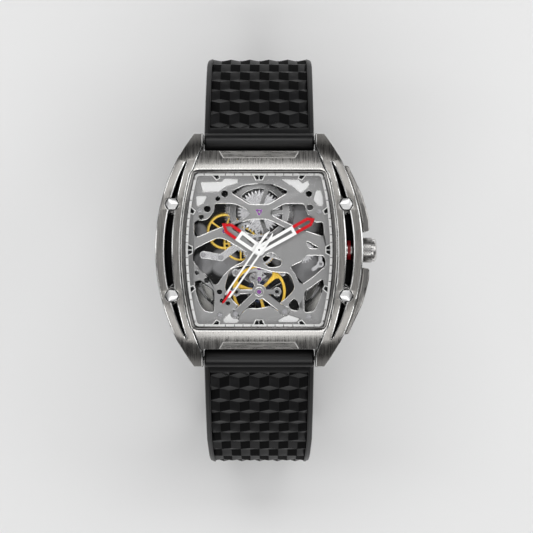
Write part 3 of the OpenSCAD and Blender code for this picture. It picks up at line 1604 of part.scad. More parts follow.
module buckle_frame() {
  hw = buckle_w / 2;
  inner_hw = strap_end_w / 2 + 0.35;
  front_y = buckle_l - buckle_front_w;
  back_y = -buckle_back;
  outline = [[-hw, back_y], [-hw, buckle_l * 0.62], [-hw + 3.2, buckle_l], [hw - 3.2, buckle_l],
    [hw, buckle_l * 0.62], [hw, back_y]];
  opening = [[-inner_hw, 2 * back_y], [-inner_hw, buckle_l * 0.55], [-inner_hw + 2.4, front_y],
    [inner_hw - 2.4, front_y], [inner_hw, buckle_l * 0.55], [inner_hw, 2 * back_y]];
  color("#b9b7b3") on_upper_end(0) difference() {
    block(-buckle_t / 2, buckle_t / 2) difference() {
      soft_polygon(outline, 1.6);
      soft_polygon(opening, 1);
    }
    rod_x(buckle_bar_d / 2 - 0.2, -hw + 0.8, hw - 0.8);
  }
}

module buckle_bar() {
  hw = strap_end_w / 2 + 0.3;
  color("#c9cacc") on_upper_end(0) {
    rod_x(buckle_bar_d / 2, -hw, hw);
    rod_x(buckle_bar_d / 2 - 0.2, -hw - 0.9, hw + 0.9);
  }
}

module buckle_tongue() {
  reach = buckle_l - 0.6;
  rise = asin((buckle_t / 2 + tongue_r + 0.1) / (buckle_l - buckle_front_w));
  color("#c9cacc") on_upper_end(0) difference() {
    union() {
      rod_x(buckle_bar_d / 2 + 0.65, -1.3, 1.3);
      rotate([rise - 90, 0, 0]) rotate_extrude() polygon([[0, 0.5], [tongue_r, 0.5], [tongue_r, reach],
        [tongue_r * 0.8, reach + tongue_r * 0.6], [tongue_r * 0.3, reach + tongue_r], [0, reach + tongue_r]]);
    }
    rod_x(buckle_bar_d / 2 + seam, -3, 3);
  }
}

case_middle();
case_front();
side_rail_left();
side_rail_right();
rail_bolts();
crown_guard_upper();
crown_guard_lower();
crown_tube();
crown_gasket();
crown();
crown_stem();
crystal_frame();
crystal();
crystal_gasket();
minute_flange();
hour_markers();
front_plate();
bright_inlays();
balance_bridge();
third_wheel_bridge();
escape_bridge();
centre_bridge();
main_plate();
movement_ring();
jewels();
bridge_screws();
barrel_drum();
barrel_cover();
barrel_arbor();
mainspring();
ratchet_wheel();
winding_idler();
winding_crown_wheel();
winding_pinion();
setting_lever();
second_wheel();
third_wheel();
fourth_wheel();
escape_wheel();
pallet_fork();
balance_wheel();
hairspring();
cannon_pinion();
minute_wheel();
hour_wheel();
hour_hand();
minute_hand();
second_hand();
rotor();
rotor_screw();
case_back();
back_glass();
back_screws();
lug_spring_bars();
strap_upper();
strap_lower();
buckle_frame();
buckle_bar();
buckle_tongue();
free_keeper();
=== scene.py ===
"""Dresses the barrel-shaped skeleton wristwatch.

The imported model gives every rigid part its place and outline. This script gives each part its finish, cuts
the bright bevels of the machined parts, and models the rubber straps, the minute track and the crown's knurl.
X points to the crown, Y to 12 o'clock and Z out of the dial. Sizes are in millimetres up to the mesh, which
is in metres.
"""

from __future__ import annotations

import json
import logging
import math
from contextlib import contextmanager
from dataclasses import dataclass, field
from enum import Enum
from typing import Callable, Iterator

import bmesh
import bpy
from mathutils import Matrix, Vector

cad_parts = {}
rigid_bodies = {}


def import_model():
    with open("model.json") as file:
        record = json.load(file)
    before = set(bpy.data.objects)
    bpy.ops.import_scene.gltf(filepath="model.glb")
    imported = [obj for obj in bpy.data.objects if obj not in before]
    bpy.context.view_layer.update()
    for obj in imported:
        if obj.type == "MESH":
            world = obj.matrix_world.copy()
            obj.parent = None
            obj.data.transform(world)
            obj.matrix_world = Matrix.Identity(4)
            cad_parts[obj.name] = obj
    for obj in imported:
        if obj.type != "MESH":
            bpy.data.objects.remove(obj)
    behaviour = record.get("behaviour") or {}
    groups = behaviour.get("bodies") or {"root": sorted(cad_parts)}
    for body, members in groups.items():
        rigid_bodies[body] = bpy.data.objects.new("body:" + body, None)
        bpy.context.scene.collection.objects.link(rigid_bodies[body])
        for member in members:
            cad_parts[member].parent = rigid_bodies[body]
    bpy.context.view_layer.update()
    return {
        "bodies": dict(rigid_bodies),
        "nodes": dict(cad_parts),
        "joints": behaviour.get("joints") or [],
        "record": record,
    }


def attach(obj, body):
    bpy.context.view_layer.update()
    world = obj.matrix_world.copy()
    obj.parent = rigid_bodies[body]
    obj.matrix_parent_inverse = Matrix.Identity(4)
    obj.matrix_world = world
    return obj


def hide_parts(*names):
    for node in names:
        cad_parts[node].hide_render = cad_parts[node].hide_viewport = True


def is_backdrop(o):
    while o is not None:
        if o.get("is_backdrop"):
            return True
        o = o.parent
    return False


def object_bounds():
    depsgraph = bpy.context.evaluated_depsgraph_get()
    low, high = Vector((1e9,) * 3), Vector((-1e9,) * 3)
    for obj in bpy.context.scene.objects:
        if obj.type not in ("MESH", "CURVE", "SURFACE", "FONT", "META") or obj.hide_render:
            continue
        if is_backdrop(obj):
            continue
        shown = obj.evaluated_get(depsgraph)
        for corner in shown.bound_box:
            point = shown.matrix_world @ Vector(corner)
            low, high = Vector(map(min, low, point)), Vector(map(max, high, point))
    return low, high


LOG = logging.getLogger("watch")
MM = 0.001
# Least distance that keeps two points apart, in millimetres.
HAIR = 0.001
Colour = tuple[float, float, float]
Point = tuple[float, float, float]
Ring = list[Point]
Outline = list[tuple[float, float]]
Planes = tuple[tuple[Point, Point], ...]
FaceTest = Callable[[Vector, Vector], bool]


def lerp(a: float, b: float, share: float) -> float:
    """Returns the value between a and b at a share, held between the two."""
    return a + (b - a) * min(1.0, max(0.0, share))


def turns(count: int) -> list[float]:
    """Returns the angles of evenly spaced points round a circle, in radians."""
    return [2 * math.pi * k / count for k in range(count)]


# Shader groups


class Grain(Enum):
    """Ways in which a surface is worked."""

    ALONG = "straight strokes"
    ROUND = "strokes round a centre"
    # The broad light and dark rays of this grain are a painted reflection.
    SUN = "rays out of a centre"
    BLASTED = "fine blasted grain"
    POLISHED = "mirror polish"


def add_node(tree: bpy.types.NodeTree, kind: str, inputs: dict[str | int, object],
             **settings: object) -> bpy.types.Node:
    """Adds a shader node, sets its properties and feeds its inputs.

    Args:
        tree: The node tree.
        kind: Type of the node without ShaderNode.
        inputs: A socket to join or a value to set, for each input by its name or number.
        settings: Properties of the node.

    Returns:
        The node.
    """
    made = tree.nodes.new(f"ShaderNode{kind}")
    for name, value in settings.items():
        setattr(made, name, value)
    for key, value in inputs.items():
        if isinstance(value, bpy.types.NodeSocket):
            tree.links.new(value, made.inputs[key])
        else:
            made.inputs[key].default_value = value
    return made


class GroupBuilder:
    """Builds one shared shader group that works on texture coordinates."""

    def __init__(self, name: str, values: dict[str, float | Point]) -> None:
        """Makes the empty group with its inputs.

        Args:
            name: Name of the group.
            values: Name and default value of each input after the coordinates.
        """
        self.tree = bpy.data.node_groups.new(name, "ShaderNodeTree")
        for key, value in {"Vector": (0, 0, 0), **values}.items():
            kind = "NodeSocketVector" if isinstance(value, tuple) else "NodeSocketFloat"
            self.tree.interface.new_socket(name=key, in_out="INPUT", socket_type=kind).default_value = value
        self.source = self.tree.nodes.new("NodeGroupInput").outputs

    def node(self, kind: str, inputs: dict[str | int, object], output: str | int = 0,
             **settings: object) -> bpy.types.NodeSocket:
        """Adds a node as add_node does and returns one of its outputs."""
        return add_node(self.tree, kind, inputs, **settings).outputs[output]

    def math(self, operation: str, a: object, b: object = 0.0) -> bpy.types.NodeSocket:
        """Adds a Math node on sockets or numbers and returns its result."""
        return self.node("Math", {0: a, 1: b}, operation=operation)

    def centred(self) -> bpy.types.NodeSocket:
        """Returns the coordinates as seen from the centre."""
        return self.node("VectorMath", {0: self.source["Vector"], 1: self.source["Centre"]},
                         operation="SUBTRACT")

    def radius(self) -> bpy.types.NodeSocket:
        """Returns the distance from the upright axis through the centre."""
        flat = self.node("VectorMath", {0: self.centred(), 1: (1, 1, 0)}, operation="MULTIPLY")
        return self.node("VectorMath", {0: flat}, "Value", operation="LENGTH")

    def angle(self) -> bpy.types.NodeSocket:
        """Returns the angle about the upright axis through the centre."""
        parts = add_node(self.tree, "SeparateXYZ", {0: self.centred()}).outputs
        return self.math("ARCTAN2", parts["Y"], parts["X"])

    def close(self, **results: bpy.types.NodeSocket) -> bpy.types.ShaderNodeTree:
        """Adds an output for each result.

        Args:
            results: The sockets that lead to the outputs, by the outputs' names.

        Returns:
            The finished group.
        """
        for name in results:
            self.tree.interface.new_socket(name=name, in_out="OUTPUT", socket_type="NodeSocketFloat")
        sink = self.tree.nodes.new("NodeGroupOutput")
        for name, socket in results.items():
            self.tree.links.new(socket, sink.inputs[name])
        return self.tree


class Effects:
    """The shader groups that several finishes share."""

    def __init__(self) -> None:
        """Builds every group once."""
        self.strokes = self.build_strokes()
        self.rings = self.build_rings()
        self.blast = self.build_blast()
        self.marks = self.build_marks()
        self.rays = self.build_reflection_rays()
        self.light_pool = self.build_light_pool()

    @staticmethod
    def build_strokes() -> bpy.types.ShaderNodeTree:
        """Builds the straight brushed strokes, which run along the group's own Y up and down every slope."""
        made = GroupBuilder("brushed_strokes", {"Across": 14.0, "Along": 0.35})
        along = made.source["Along"]
        stretch = made.node("CombineXYZ", {"X": made.source["Across"], "Y": along, "Z": along})
        scaled = made.node("VectorMath", {0: made.source["Vector"], 1: stretch}, operation="MULTIPLY")
        noise = made.node("TexNoise", {"Vector": scaled, "Scale": 1.0, "Detail": 3.0, "Roughness": 0.65})
        sharp = made.node("MapRange", {"Value": noise, "From Min": 0.28, "From Max": 0.72})
        return made.close(Tone=sharp, Height=noise)

    @staticmethod
    def build_rings() -> bpy.types.ShaderNodeTree:
        """Builds the strokes that run round a centre, as on a turned part."""
        made = GroupBuilder("turned_strokes", {"Centre": (0, 0, 0), "Density": 16.0, "Sweep": 0.5})
        radius = made.math("MULTIPLY", made.radius(), made.source["Density"])
        turn = made.math("MULTIPLY", made.angle(), made.source["Sweep"])
        polar = made.node("CombineXYZ", {"X": radius, "Y": turn})
        noise = made.node("TexNoise", {"Vector": polar, "Scale": 1.0, "Detail": 2.0})
        return made.close(Tone=noise, Height=noise)

    @staticmethod
    def build_reflection_rays() -> bpy.types.ShaderNodeTree:
        """Builds the broad light and dark rays of a turned disc, a painted reflection on its turned strokes.
        """
        made = GroupBuilder("painted_reflection_rays", {"Centre": (0, 0, 0), "Rays": 2.0, "Phase": 0.0})
        turned = made.math("MULTIPLY", made.angle(), made.source["Rays"])
        wave = made.math("COSINE", made.math("ADD", turned, made.source["Phase"]))
        return made.close(Tone=made.math("ADD", made.math("MULTIPLY", wave, 0.5), 0.5))

    @staticmethod
    def build_light_pool() -> bpy.types.ShaderNodeTree:
        """Builds a painted pool of light: a round spot with a soft rim, added to a mask."""
        made = GroupBuilder("painted_light_pool", {"Centre": (0, 0, 0), "Radius": 3.0, "Mask": 0.0})
        share = made.math("DIVIDE", made.radius(), made.source["Radius"])
        fade = made.node("MapRange", {"Value": share, "From Min": 1.1, "From Max": 0.75},
                         interpolation_type="SMOOTHSTEP")
        return made.close(Mask=made.math("MAXIMUM", fade, made.source["Mask"]))

    @staticmethod
    def build_blast() -> bpy.types.ShaderNodeTree:
        """Builds the even grain of a blasted plate or of moulded rubber."""
        made = GroupBuilder("blasted_grain", {"Size": 9.0})
        noise = made.node("TexNoise", {"Vector": made.source["Vector"], "Scale": made.source["Size"],
                                       "Detail": 4.0, "Roughness": 0.7})
        return made.close(Tone=noise, Height=noise)

    @staticmethod
    def build_marks() -> bpy.types.ShaderNodeTree:
        """Builds the broad, faint patches that handling leaves."""
        made = GroupBuilder("handling_marks", {"Spread": 0.25})
        noise = made.node("TexNoise", {"Vector": made.source["Vector"], "Scale": made.source["Spread"],
                                       "Detail": 3.0, "Distortion": 0.6})
        return made.close(Mask=noise)


# Finishes

# Least and greatest roughness as shares of the middle one, for each kind of surface.
POLISHED_SPAN = (0.7, 1.4)
WORKED_SPAN = (0.85, 1.15)
COATED_SPAN = (0.9, 1.1)


@dataclass
class MaterialBuilder:
    """One material's node tree, with its texture coordinates in millimetres.

    Attributes:
        name: Name of the material.
        turn: Angle about Z by which the pattern is turned, in degrees.
    """

    name: str
    turn: float = 0.0

    def __post_init__(self) -> None:
        """Makes the material with its shader and its coordinates."""
        self.material = bpy.data.materials.new(self.name)
        self.material.use_nodes = True
        self.tree = self.material.node_tree
        self.shader = self.tree.nodes["Principled BSDF"].inputs
        coords = add_node(self.tree, "TexCoord", {})
        self.place = add_node(self.tree, "Mapping", {
            "Vector": coords.outputs["Object"], "Rotation": (0, 0, math.radians(self.turn)),
            "Scale": (1 / MM, 1 / MM, 1 / MM)})

    def plain(self, values: dict[str, float]) -> None:
        """Sets values on the shader's own sockets."""
        for name, value in values.items():
            self.shader[name].default_value = value

    def group(self, tree: bpy.types.ShaderNodeTree, **values: float | Point) -> bpy.types.Node:
        """Places a shared group with its own values on the coordinates."""
        return add_node(self.tree, "Group", {"Vector": self.place.outputs[0], **values}, node_tree=tree)

    def shade(self, tone: bpy.types.NodeSocket, low: Colour, high: Colour) -> None:
        """Runs the base colour between two colours by a mask."""
        mix = add_node(self.tree, "Mix", {0: tone, 6: (*low, 1), 7: (*high, 1)}, data_type="RGBA")
        self.tree.links.new(mix.outputs[2], self.shader["Base Color"])

    def roughen(self, mask: bpy.types.NodeSocket, low: float, high: float) -> None:
        """Runs the roughness between two values by a mask."""
        span = add_node(self.tree, "MapRange", {
            "Value": mask, "From Min": 0.3, "From Max": 0.7, "To Min": low, "To Max": high})
        self.tree.links.new(span.outputs[0], self.shader["Roughness"])

    def bump(self, height: bpy.types.NodeSocket, depth: float) -> None:
        """Raises the surface by a height map, with its depth in millimetres."""
        made = add_node(self.tree, "Bump", {"Height": height, "Strength": 1.0, "Distance": depth * MM})
        self.tree.links.new(made.outputs[0], self.shader["Normal"])


def tones(colour: Colour, spread: float) -> tuple[Colour, Colour]:
    """Returns the darker and the lighter colour beside a middle one."""
    return tuple(c * (1 - spread) for c in colour), tuple(min(1.0, c * (1 + spread)) for c in colour)


@dataclass(frozen=True)
class MetalFinish:
    """A worked metal surface.

    Attributes:
        name: Name of the material.
        colour: Middle colour of the metal.
        roughness: Middle roughness.
        grain: How it is worked.
        turn: Angle of the strokes from Y, in degrees.
        contrast: How far the strokes lighten and darken the colour, and on turned discs and the deck how far
            the painted reflection rays and painted pools of light do.
        depth: Depth of the grain in millimetres.
        centre: Centre of turned strokes, in millimetres.
        density: Strokes or grains in a millimetre.
        metallic: Share of metal in the surface.
        rays: Number of light rays of a turned disc, which are a painted reflection.
        phase: Angle of those rays, in degrees.
        patches: Places and radii of the painted pools of light, in millimetres.
    """

    name: str
    colour: Colour
    roughness: float
    grain: Grain = Grain.POLISHED
    turn: float = 0.0
    contrast: float = 0.12
    depth: float = 0.004
    centre: Point = (0, 0, 0)
    density: float = 14.0
    metallic: float = 1.0
    rays: float = 2.0
    phase: float = 0.0
    patches: tuple[Point, ...] = ()

    def work(self, made: MaterialBuilder, effects: Effects) -> bpy.types.Node:
        """Places the group that draws the grain.

        Args:
            made: The material.
            effects: The shared shader groups.

        Returns:
            The node of the group.
        """
        if self.grain is Grain.ALONG:
            return made.group(effects.strokes, Across=self.density, Along=0.22)
        if self.grain in (Grain.ROUND, Grain.SUN):
            return made.group(effects.rings, Centre=self.centre, Density=self.density)
        if self.grain is Grain.BLASTED:
            return made.group(effects.blast, Size=self.density)
        return made.group(effects.marks, Spread=1.4)

    def build(self, effects: Effects) -> bpy.types.Material:
        """Builds the material.

        Args:
            effects: The shared shader groups.

        Returns:
            The finished material.
        """
        made = MaterialBuilder(self.name, self.turn)
        made.plain({"Metallic": self.metallic})
        work = self.work(made, effects)
        tone = mask = work.outputs[0]
        # A turned disc takes painted reflection rays, and the deck painted pools of light, in place of the
        # strokes' tone.
        if self.grain is Grain.SUN:
            phase = math.radians(self.phase)
            mask = made.group(effects.rays, Centre=self.centre, Rays=self.rays, Phase=phase).outputs[0]
        for index, (x, y, r) in enumerate(self.patches):
            before = mask if index else 0.0
            mask = made.group(effects.light_pool, Centre=(x, y, 0), Radius=r, Mask=before).outputs[0]
        made.shade(mask, *tones(self.colour, self.contrast))
        if self.grain is Grain.POLISHED:
            marks = made.group(effects.marks, Spread=0.22)
            made.roughen(marks.outputs[0], *(self.roughness * share for share in POLISHED_SPAN))
        else:
            made.roughen(tone, *(self.roughness * share for share in WORKED_SPAN))
            made.bump(work.outputs[1], self.depth)
        return made.material


@dataclass(frozen=True)
class CoatFinish:
    """A lacquered or moulded surface.

    Attributes:
        name: Name of the material.
        colour: Its colour.
        roughness: Its roughness.
        coat: Weight of the clear coat.
        grain_size: Grains in a millimetre.
        grain_depth: Depth of the grain in millimetres.
        variation: How far the colour varies.
        shine: Level of its mirror reflection.
    """

    name: str
    colour: Colour
    roughness: float
    coat: float = 0.0
    grain_size: float = 6.0
    grain_depth: float = 0.001
    variation: float = 0.05
    shine: float = 0.5

    def build(self, effects: Effects) -> bpy.types.Material:
        """Builds the material.

        Args:
            effects: The shared shader groups.

        Returns:
            The finished material.
        """
        made = MaterialBuilder(self.name)
        made.plain({"Specular IOR Level": self.shine, "Coat Weight": self.coat})
        marks = made.group(effects.marks, Spread=0.12).outputs[0]
        made.shade(marks, *tones(self.colour, self.variation))
        made.roughen(marks, *(self.roughness * share for share in COATED_SPAN))
        made.bump(made.group(effects.blast, Size=self.grain_size).outputs[1], self.grain_depth)
        return made.material


@dataclass(frozen=True)
class ClearFinish:
    """A clear or tinted crystal.

    Attributes:
        name: Name of the material.
        colour: Its tint.
        alpha: How much of it shows.
        ior: Refractive index.
        transmission: Share of light that it lets through.
    """

    name: str
    colour: Colour
    alpha: float
    ior: float
    transmission: float = 1.0

    def build(self, effects: Effects) -> bpy.types.Material:
        """Builds the material.

        Args:
            effects: The shared shader groups.

        Returns:
            The finished material.
        """
        made = MaterialBuilder(self.name)
        made.plain({"IOR": self.ior, "Alpha": self.alpha, "Transmission Weight": self.transmission})
        marks = made.group(effects.marks, Spread=0.1).outputs[0]
        made.shade(marks, tones(self.colour, 0.05)[0], self.colour)
        made.roughen(marks, 0.015, 0.05)
        return made.material


# Centre of the barrel, round which its cover and the ratchet wheel are turned.
BARREL = (0.0, 8.2, 0.0)
# Places and radii of the painted pools of light on the deck under the openings; the rest of the deck is dark
# as painted shade.
PAINTED_LIGHT_POOLS = ((10.2, -4.4, 3.9), (9.6, 6.6, 3.8), (-12.2, -3.0, 2.5), (-12.9, 4.1, 1.7), (-7.6, -2.6, 3.2),
                 (4.8, -1.4, 2.4), (-12.4, -9.4, 1.6), (12.4, -9.4, 1.6))

FINISHES: dict[str, MetalFinish | CoatFinish | ClearFinish] = {
    "panel": MetalFinish("brushed_panel_steel", (0.4, 0.39, 0.375), 0.29, Grain.ALONG, 0, 0.2, 0.0008,
                         density=3.6),
    # The recess floor beside the strap: brighter steel as a painted highlight.
    "lip": MetalFinish("brushed_lip_steel", (0.85, 0.83, 0.8), 0.3, Grain.ALONG, 90, 0.1, 0.0008,
                       density=3.6),
    "rail": MetalFinish("brushed_rail_steel", (0.185, 0.179, 0.17), 0.3, Grain.ALONG, 0, 0.22, 0.001,
                        density=3.6),
    "body": MetalFinish("satin_body_steel", (0.17, 0.166, 0.16), 0.34, Grain.ALONG, 90, 0.15, 0.0012,
                        density=3.6),
    "guard": MetalFinish("satin_guard_steel", (0.125, 0.122, 0.118), 0.3, Grain.ALONG, 0, 0.15, 0.0012,
                         density=3.6),
    "mirror": MetalFinish("polished_steel", (0.58, 0.57, 0.56), 0.12),
    "frame": MetalFinish("dark_polished_frame", (0.1, 0.098, 0.096), 0.2),
    "bevel": MetalFinish("polished_bevel", (0.72, 0.72, 0.71), 0.2),
    "bolt": MetalFinish("satin_bolt_steel", (0.62, 0.62, 0.62), 0.3, Grain.BLASTED, 0, 0.04, 0.001),
    "crown": MetalFinish("crown_steel", (0.63, 0.62, 0.61), 0.26, Grain.ALONG, 90, 0.1, 0.001),
    "plate": MetalFinish("blasted_grey_plate", (0.27, 0.27, 0.27), 0.45, Grain.BLASTED, 0, 0.1, 0.003,
                         density=16, metallic=0.35),
    "bridge": MetalFinish("blasted_bridge", (0.23, 0.23, 0.23), 0.4, Grain.BLASTED, 0, 0.1, 0.003,
                          density=16, metallic=0.35),
    "inlay": MetalFinish("satin_bright_inlay", (0.74, 0.74, 0.74), 0.4, Grain.BLASTED, 0, 0.04, 0.001,
                         metallic=0.15),
    # Dark grey for groove floors, the crown's knurl ground and the inlays' outlines, as painted shade.
    "groove": MetalFinish("groove_painted_shade", (0.1, 0.1, 0.1), 0.5),
    # The deck: dark as painted shade, with painted pools of light.
    "deck": MetalFinish("deck_painted_shade_and_light", (0.14, 0.14, 0.143), 0.4, Grain.ROUND, 0, 0.93, metallic=0.6,
                        patches=PAINTED_LIGHT_POOLS),
    # Near black for walls, undersides, the movement ring and the rotor's upper faces, as painted shade.
    "deep": MetalFinish("dark_painted_shade", (0.018, 0.018, 0.02), 0.6, Grain.BLASTED, 0, 0.2, 0.003, metallic=0.2),
    "under": MetalFinish("satin_under_plate", (0.3, 0.3, 0.305), 0.35, Grain.BLASTED, 0, 0.1, 0.003,
                         metallic=0.6),
    # Turned discs whose broad light and dark rays are a painted reflection.
    "barrel": MetalFinish("turned_barrel_steel_painted_reflection", (0.09, 0.09, 0.092), 0.3, Grain.SUN, 0, 0.75, 0.003, BARREL,
                          9, 0.85, 4),
    "wheel": MetalFinish("plated_wheel_steel_painted_reflection", (0.24, 0.24, 0.24), 0.3, Grain.SUN, 0, 0.42, 0.003, BARREL,
                         14, 0.7, 3, 40),
    "steel": MetalFinish("plated_small_steel", (0.5, 0.5, 0.51), 0.26, Grain.ALONG, 35, 0.1, 0.002),
    "brass": MetalFinish("yellow_wheel_brass", (0.95, 0.64, 0.1), 0.28, Grain.ALONG, 30, 0.06, 0.001,
                         metallic=0.35),
    "gilt": MetalFinish("gilt_balance_brass", (0.95, 0.6, 0.07), 0.24, Grain.ALONG, 10, 0.08, 0.001,
                        metallic=0.35),
    "spring": MetalFinish("blued_spring_steel", (0.12, 0.16, 0.3), 0.25),
    "screw": MetalFinish("polished_screw_steel", (0.3, 0.3, 0.31), 0.3, metallic=0.9),
    "rotor": MetalFinish("striped_rotor_steel", (0.4, 0.4, 0.41), 0.28, Grain.ROUND, 0, 0.3, density=3),
    "back": MetalFinish("turned_back_steel", (0.37, 0.365, 0.35), 0.3, Grain.ROUND, 0, 0.2, density=12),
    "white": CoatFinish("white_lacquer", (0.96, 0.96, 0.95), 0.35, 0.2, variation=0.02),
    "red": CoatFinish("red_lacquer", (0.6, 0.008, 0.015), 0.4, shine=0.15),
    # Black lacquer of ticks, fillings and arbor, also black painted shade in the case's long slots.
    "black": CoatFinish("black_lacquer_and_slot_shade", (0.008, 0.008, 0.009), 0.5, shine=0.1),
    "seal": CoatFinish("black_seal", (0.02, 0.02, 0.022), 0.55, 0, 8, 0.003, 0.08, 0.2),
    "red_seal": CoatFinish("red_seal", (0.55, 0.012, 0.02), 0.4, 0, 8, 0.003, 0.08),
    "rubber": CoatFinish("moulded_rubber", (0.0035, 0.0035, 0.004), 0.36, 0, 7, 0.008, 0.12, 0.32),
    # Darker, rougher rubber on the cube faces that turn away from the light, as painted shade.
    "rubber_painted_shade": CoatFinish("rubber_painted_shade", (0.0012, 0.0012, 0.0014), 0.7, 0, 7, 0.008, 0.12, 0.1),
    "jewel": ClearFinish("purple_jewel", (0.3, 0.05, 0.42), 0.96, 1.76, 0.2),
    "crystal": ClearFinish("clear_crystal", (1, 1, 1), 0.05, 1.3),
}


# Mesh helpers

# What counts as nothing, as a length in metres or as a share.
TINY = 1e-6
# Shares of a face's width and of an edge's length that bevels may take.
WIDTH_SHARE = 0.42
LENGTH_SHARE = 0.8
# Turn at a face's corner, in radians, from which it is the end of a slit, and the bevel's width there.
SLIT_TURN = 2.4
SLIT_BEVEL = 0.03
# Cosine over which two sharp edges leave a corner side by side.
SIDE_BY_SIDE = 0.77
# Angle between two faces, in radians, from which they are a fold that takes no bevel.
FOLD = 2.6
# Growth of a mesh's area that is still rounding.
AREA_SLACK = 1.002
# Z of a face's normal: under WALL the face is upright, over TILTED it looks up, over LEVEL it is flat.
WALL = 0.25
TILTED = 0.5
LEVEL = 0.9
# Angles in degrees: up to SAME_FLAT two faces are joined into one, and from SHARP on an edge stays sharp on a
# machined part, or from SHARP_TURNED on a turned one.
SAME_FLAT = 0.4
SHARP = 28
SHARP_TURNED = 40


def link(name: str, data: bpy.types.ID) -> bpy.types.Object:
    """Makes an object and puts it into the scene.

    Args:
        name: Name of the object.
        data: Its mesh, lamp or camera.

    Returns:
        The object.
    """
    made = bpy.data.objects.new(name, data)
    bpy.context.scene.collection.objects.link(made)
    return made


def mesh_of(name: str, points: Ring, faces: list[list[int]]) -> bpy.types.Mesh:
    """Makes a mesh.

    Args:
        name: Name of the mesh.
        points: Its points in millimetres.
        faces: Its faces.

    Returns:
        The mesh.
    """
    made = bpy.data.meshes.new(name)
    made.from_pydata([tuple(c * MM for c in p) for p in points], [], faces)
    made.update()
    return made


@contextmanager
def editing(mesh: bpy.types.Mesh) -> Iterator[bmesh.types.BMesh]:
    """Opens a mesh for editing and writes it back at the end.

    Args:
        mesh: The mesh.

    Yields:
        Its editable form.
    """
    work = bmesh.new()
    work.from_mesh(mesh)
    yield work
    work.to_mesh(mesh)
    work.free()


def split(work: bmesh.types.BMesh, at: Point | Vector, normal: Point, clear: bool = False) -> None:
    """Splits faces along a plane through a point in metres, and clears what lies beyond it if asked."""
    bmesh.ops.bisect_plane(work, geom=work.verts[:] + work.edges[:] + work.faces[:], plane_co=at,
                           plane_no=normal, clear_outer=clear)


def settle(obj: bpy.types.Object) -> bpy.types.Object:
    """Turns an object's modifiers into its plain mesh.

    Args:
        obj: The object.

    Returns:
        The same object.
    """
    graph = bpy.context.evaluated_depsgraph_get()
    graph.update()
    made = bpy.data.meshes.new_from_object(obj.evaluated_get(graph), depsgraph=graph)
    old = obj.data
    obj.modifiers.clear()
    obj.data = made
    bpy.data.meshes.remove(old)
    return obj


def smooth(mesh: bpy.types.Mesh, angle: float) -> None:
    """Smooths a mesh but for its sharp edges.

    Args:
        mesh: The mesh.
        angle: Angle in degrees from which an edge is sharp.
    """
    for face in mesh.polygons:
        face.use_smooth = True
    mesh.set_sharp_from_angle(angle=math.radians(angle))


def room_beside(loop: bmesh.types.BMLoop) -> float:
    """Returns how wide a bevel may be on a face along one of its edges, in metres.

    Args:
        loop: The face's corner where the edge starts.

    Returns:
        The smaller of a share of the face's width there and of what the edge's length allows.
    """
    start, end = loop.vert.co, loop.link_loop_next.vert.co
    length = (end - start).length
    along = (end - start) / (length or 1.0)
    inward = loop.face.normal.cross(along)
    middle = (start + end) / 2
    best = 1.0
    places = [((v.co - middle).dot(along), (v.co - middle).dot(inward)) for v in loop.face.verts]
    last = places[-1]
    for here in places:
        if here[1] > TINY and abs(here[0]) <= length / 2:
            best = min(best, here[1])
        if (last[0] < 0) != (here[0] < 0):
            share = last[0] / (last[0] - here[0])
            height = last[1] + (here[1] - last[1]) * share
            if height > TINY:
                best = min(best, height)
        last = here
    lost = 0.0
    for corner in (loop, loop.link_loop_next):
        turn = math.pi - corner.calc_angle()
        if turn > SLIT_TURN:
            return SLIT_BEVEL * MM
        if corner.is_convex:
            lost += math.tan(turn / 2)
    return min(WIDTH_SHARE * best, LENGTH_SHARE * length / max(lost, TINY))


def pointed(vert: bmesh.types.BMVert, sharp: set[bmesh.types.BMEdge]) -> set[bmesh.types.BMEdge]:
    """Finds the sharp edges that leave a corner side by side, as at the end of a slit.

    Args:
        vert: The corner.
        sharp: The sharp edges of the mesh.

    Returns:
        Those edges.
    """
    edges = [edge for edge in vert.link_edges if edge in sharp]
    ways = [(edge.other_vert(vert).co - vert.co).normalized() for edge in edges]
    found = set()
    for i, first in enumerate(edges):
        for j in range(i):
            if ways[i].dot(ways[j]) > SIDE_BY_SIDE:
                found |= {first, edges[j]}
    return found


def weigh_edges(mesh: bpy.types.Mesh, width: float, angle: float) -> None:
    """Weighs the sharp edges for the bevel, less where a face beside them is narrow.

    Args:
        mesh: The mesh.
        width: Full width of the bevel in millimetres.
        angle: Least angle of an edge that is bevelled, in degrees.
    """
    with editing(mesh) as work:
        layer = work.edges.layers.float.new("bevel_weight_edge")
        sharp = {edge for edge in work.edges
                 if len(edge.link_faces) == 2 and math.radians(angle) < edge.calc_face_angle(0.0) < FOLD}
        fine: set[bmesh.types.BMEdge] = set()
        for vert in work.verts:
            fine |= pointed(vert, sharp)
        for edge in sharp - fine:
            room = min(room_beside(loop) for loop in edge.link_loops) / MM
            edge[layer] = min(1.0, room / width)


def area_of(mesh: bpy.types.Mesh) -> float:
    """Returns the area of a mesh as its triangles are drawn."""
    mesh.calc_loop_triangles()
    return sum(triangle.area for triangle in mesh.loop_triangles)


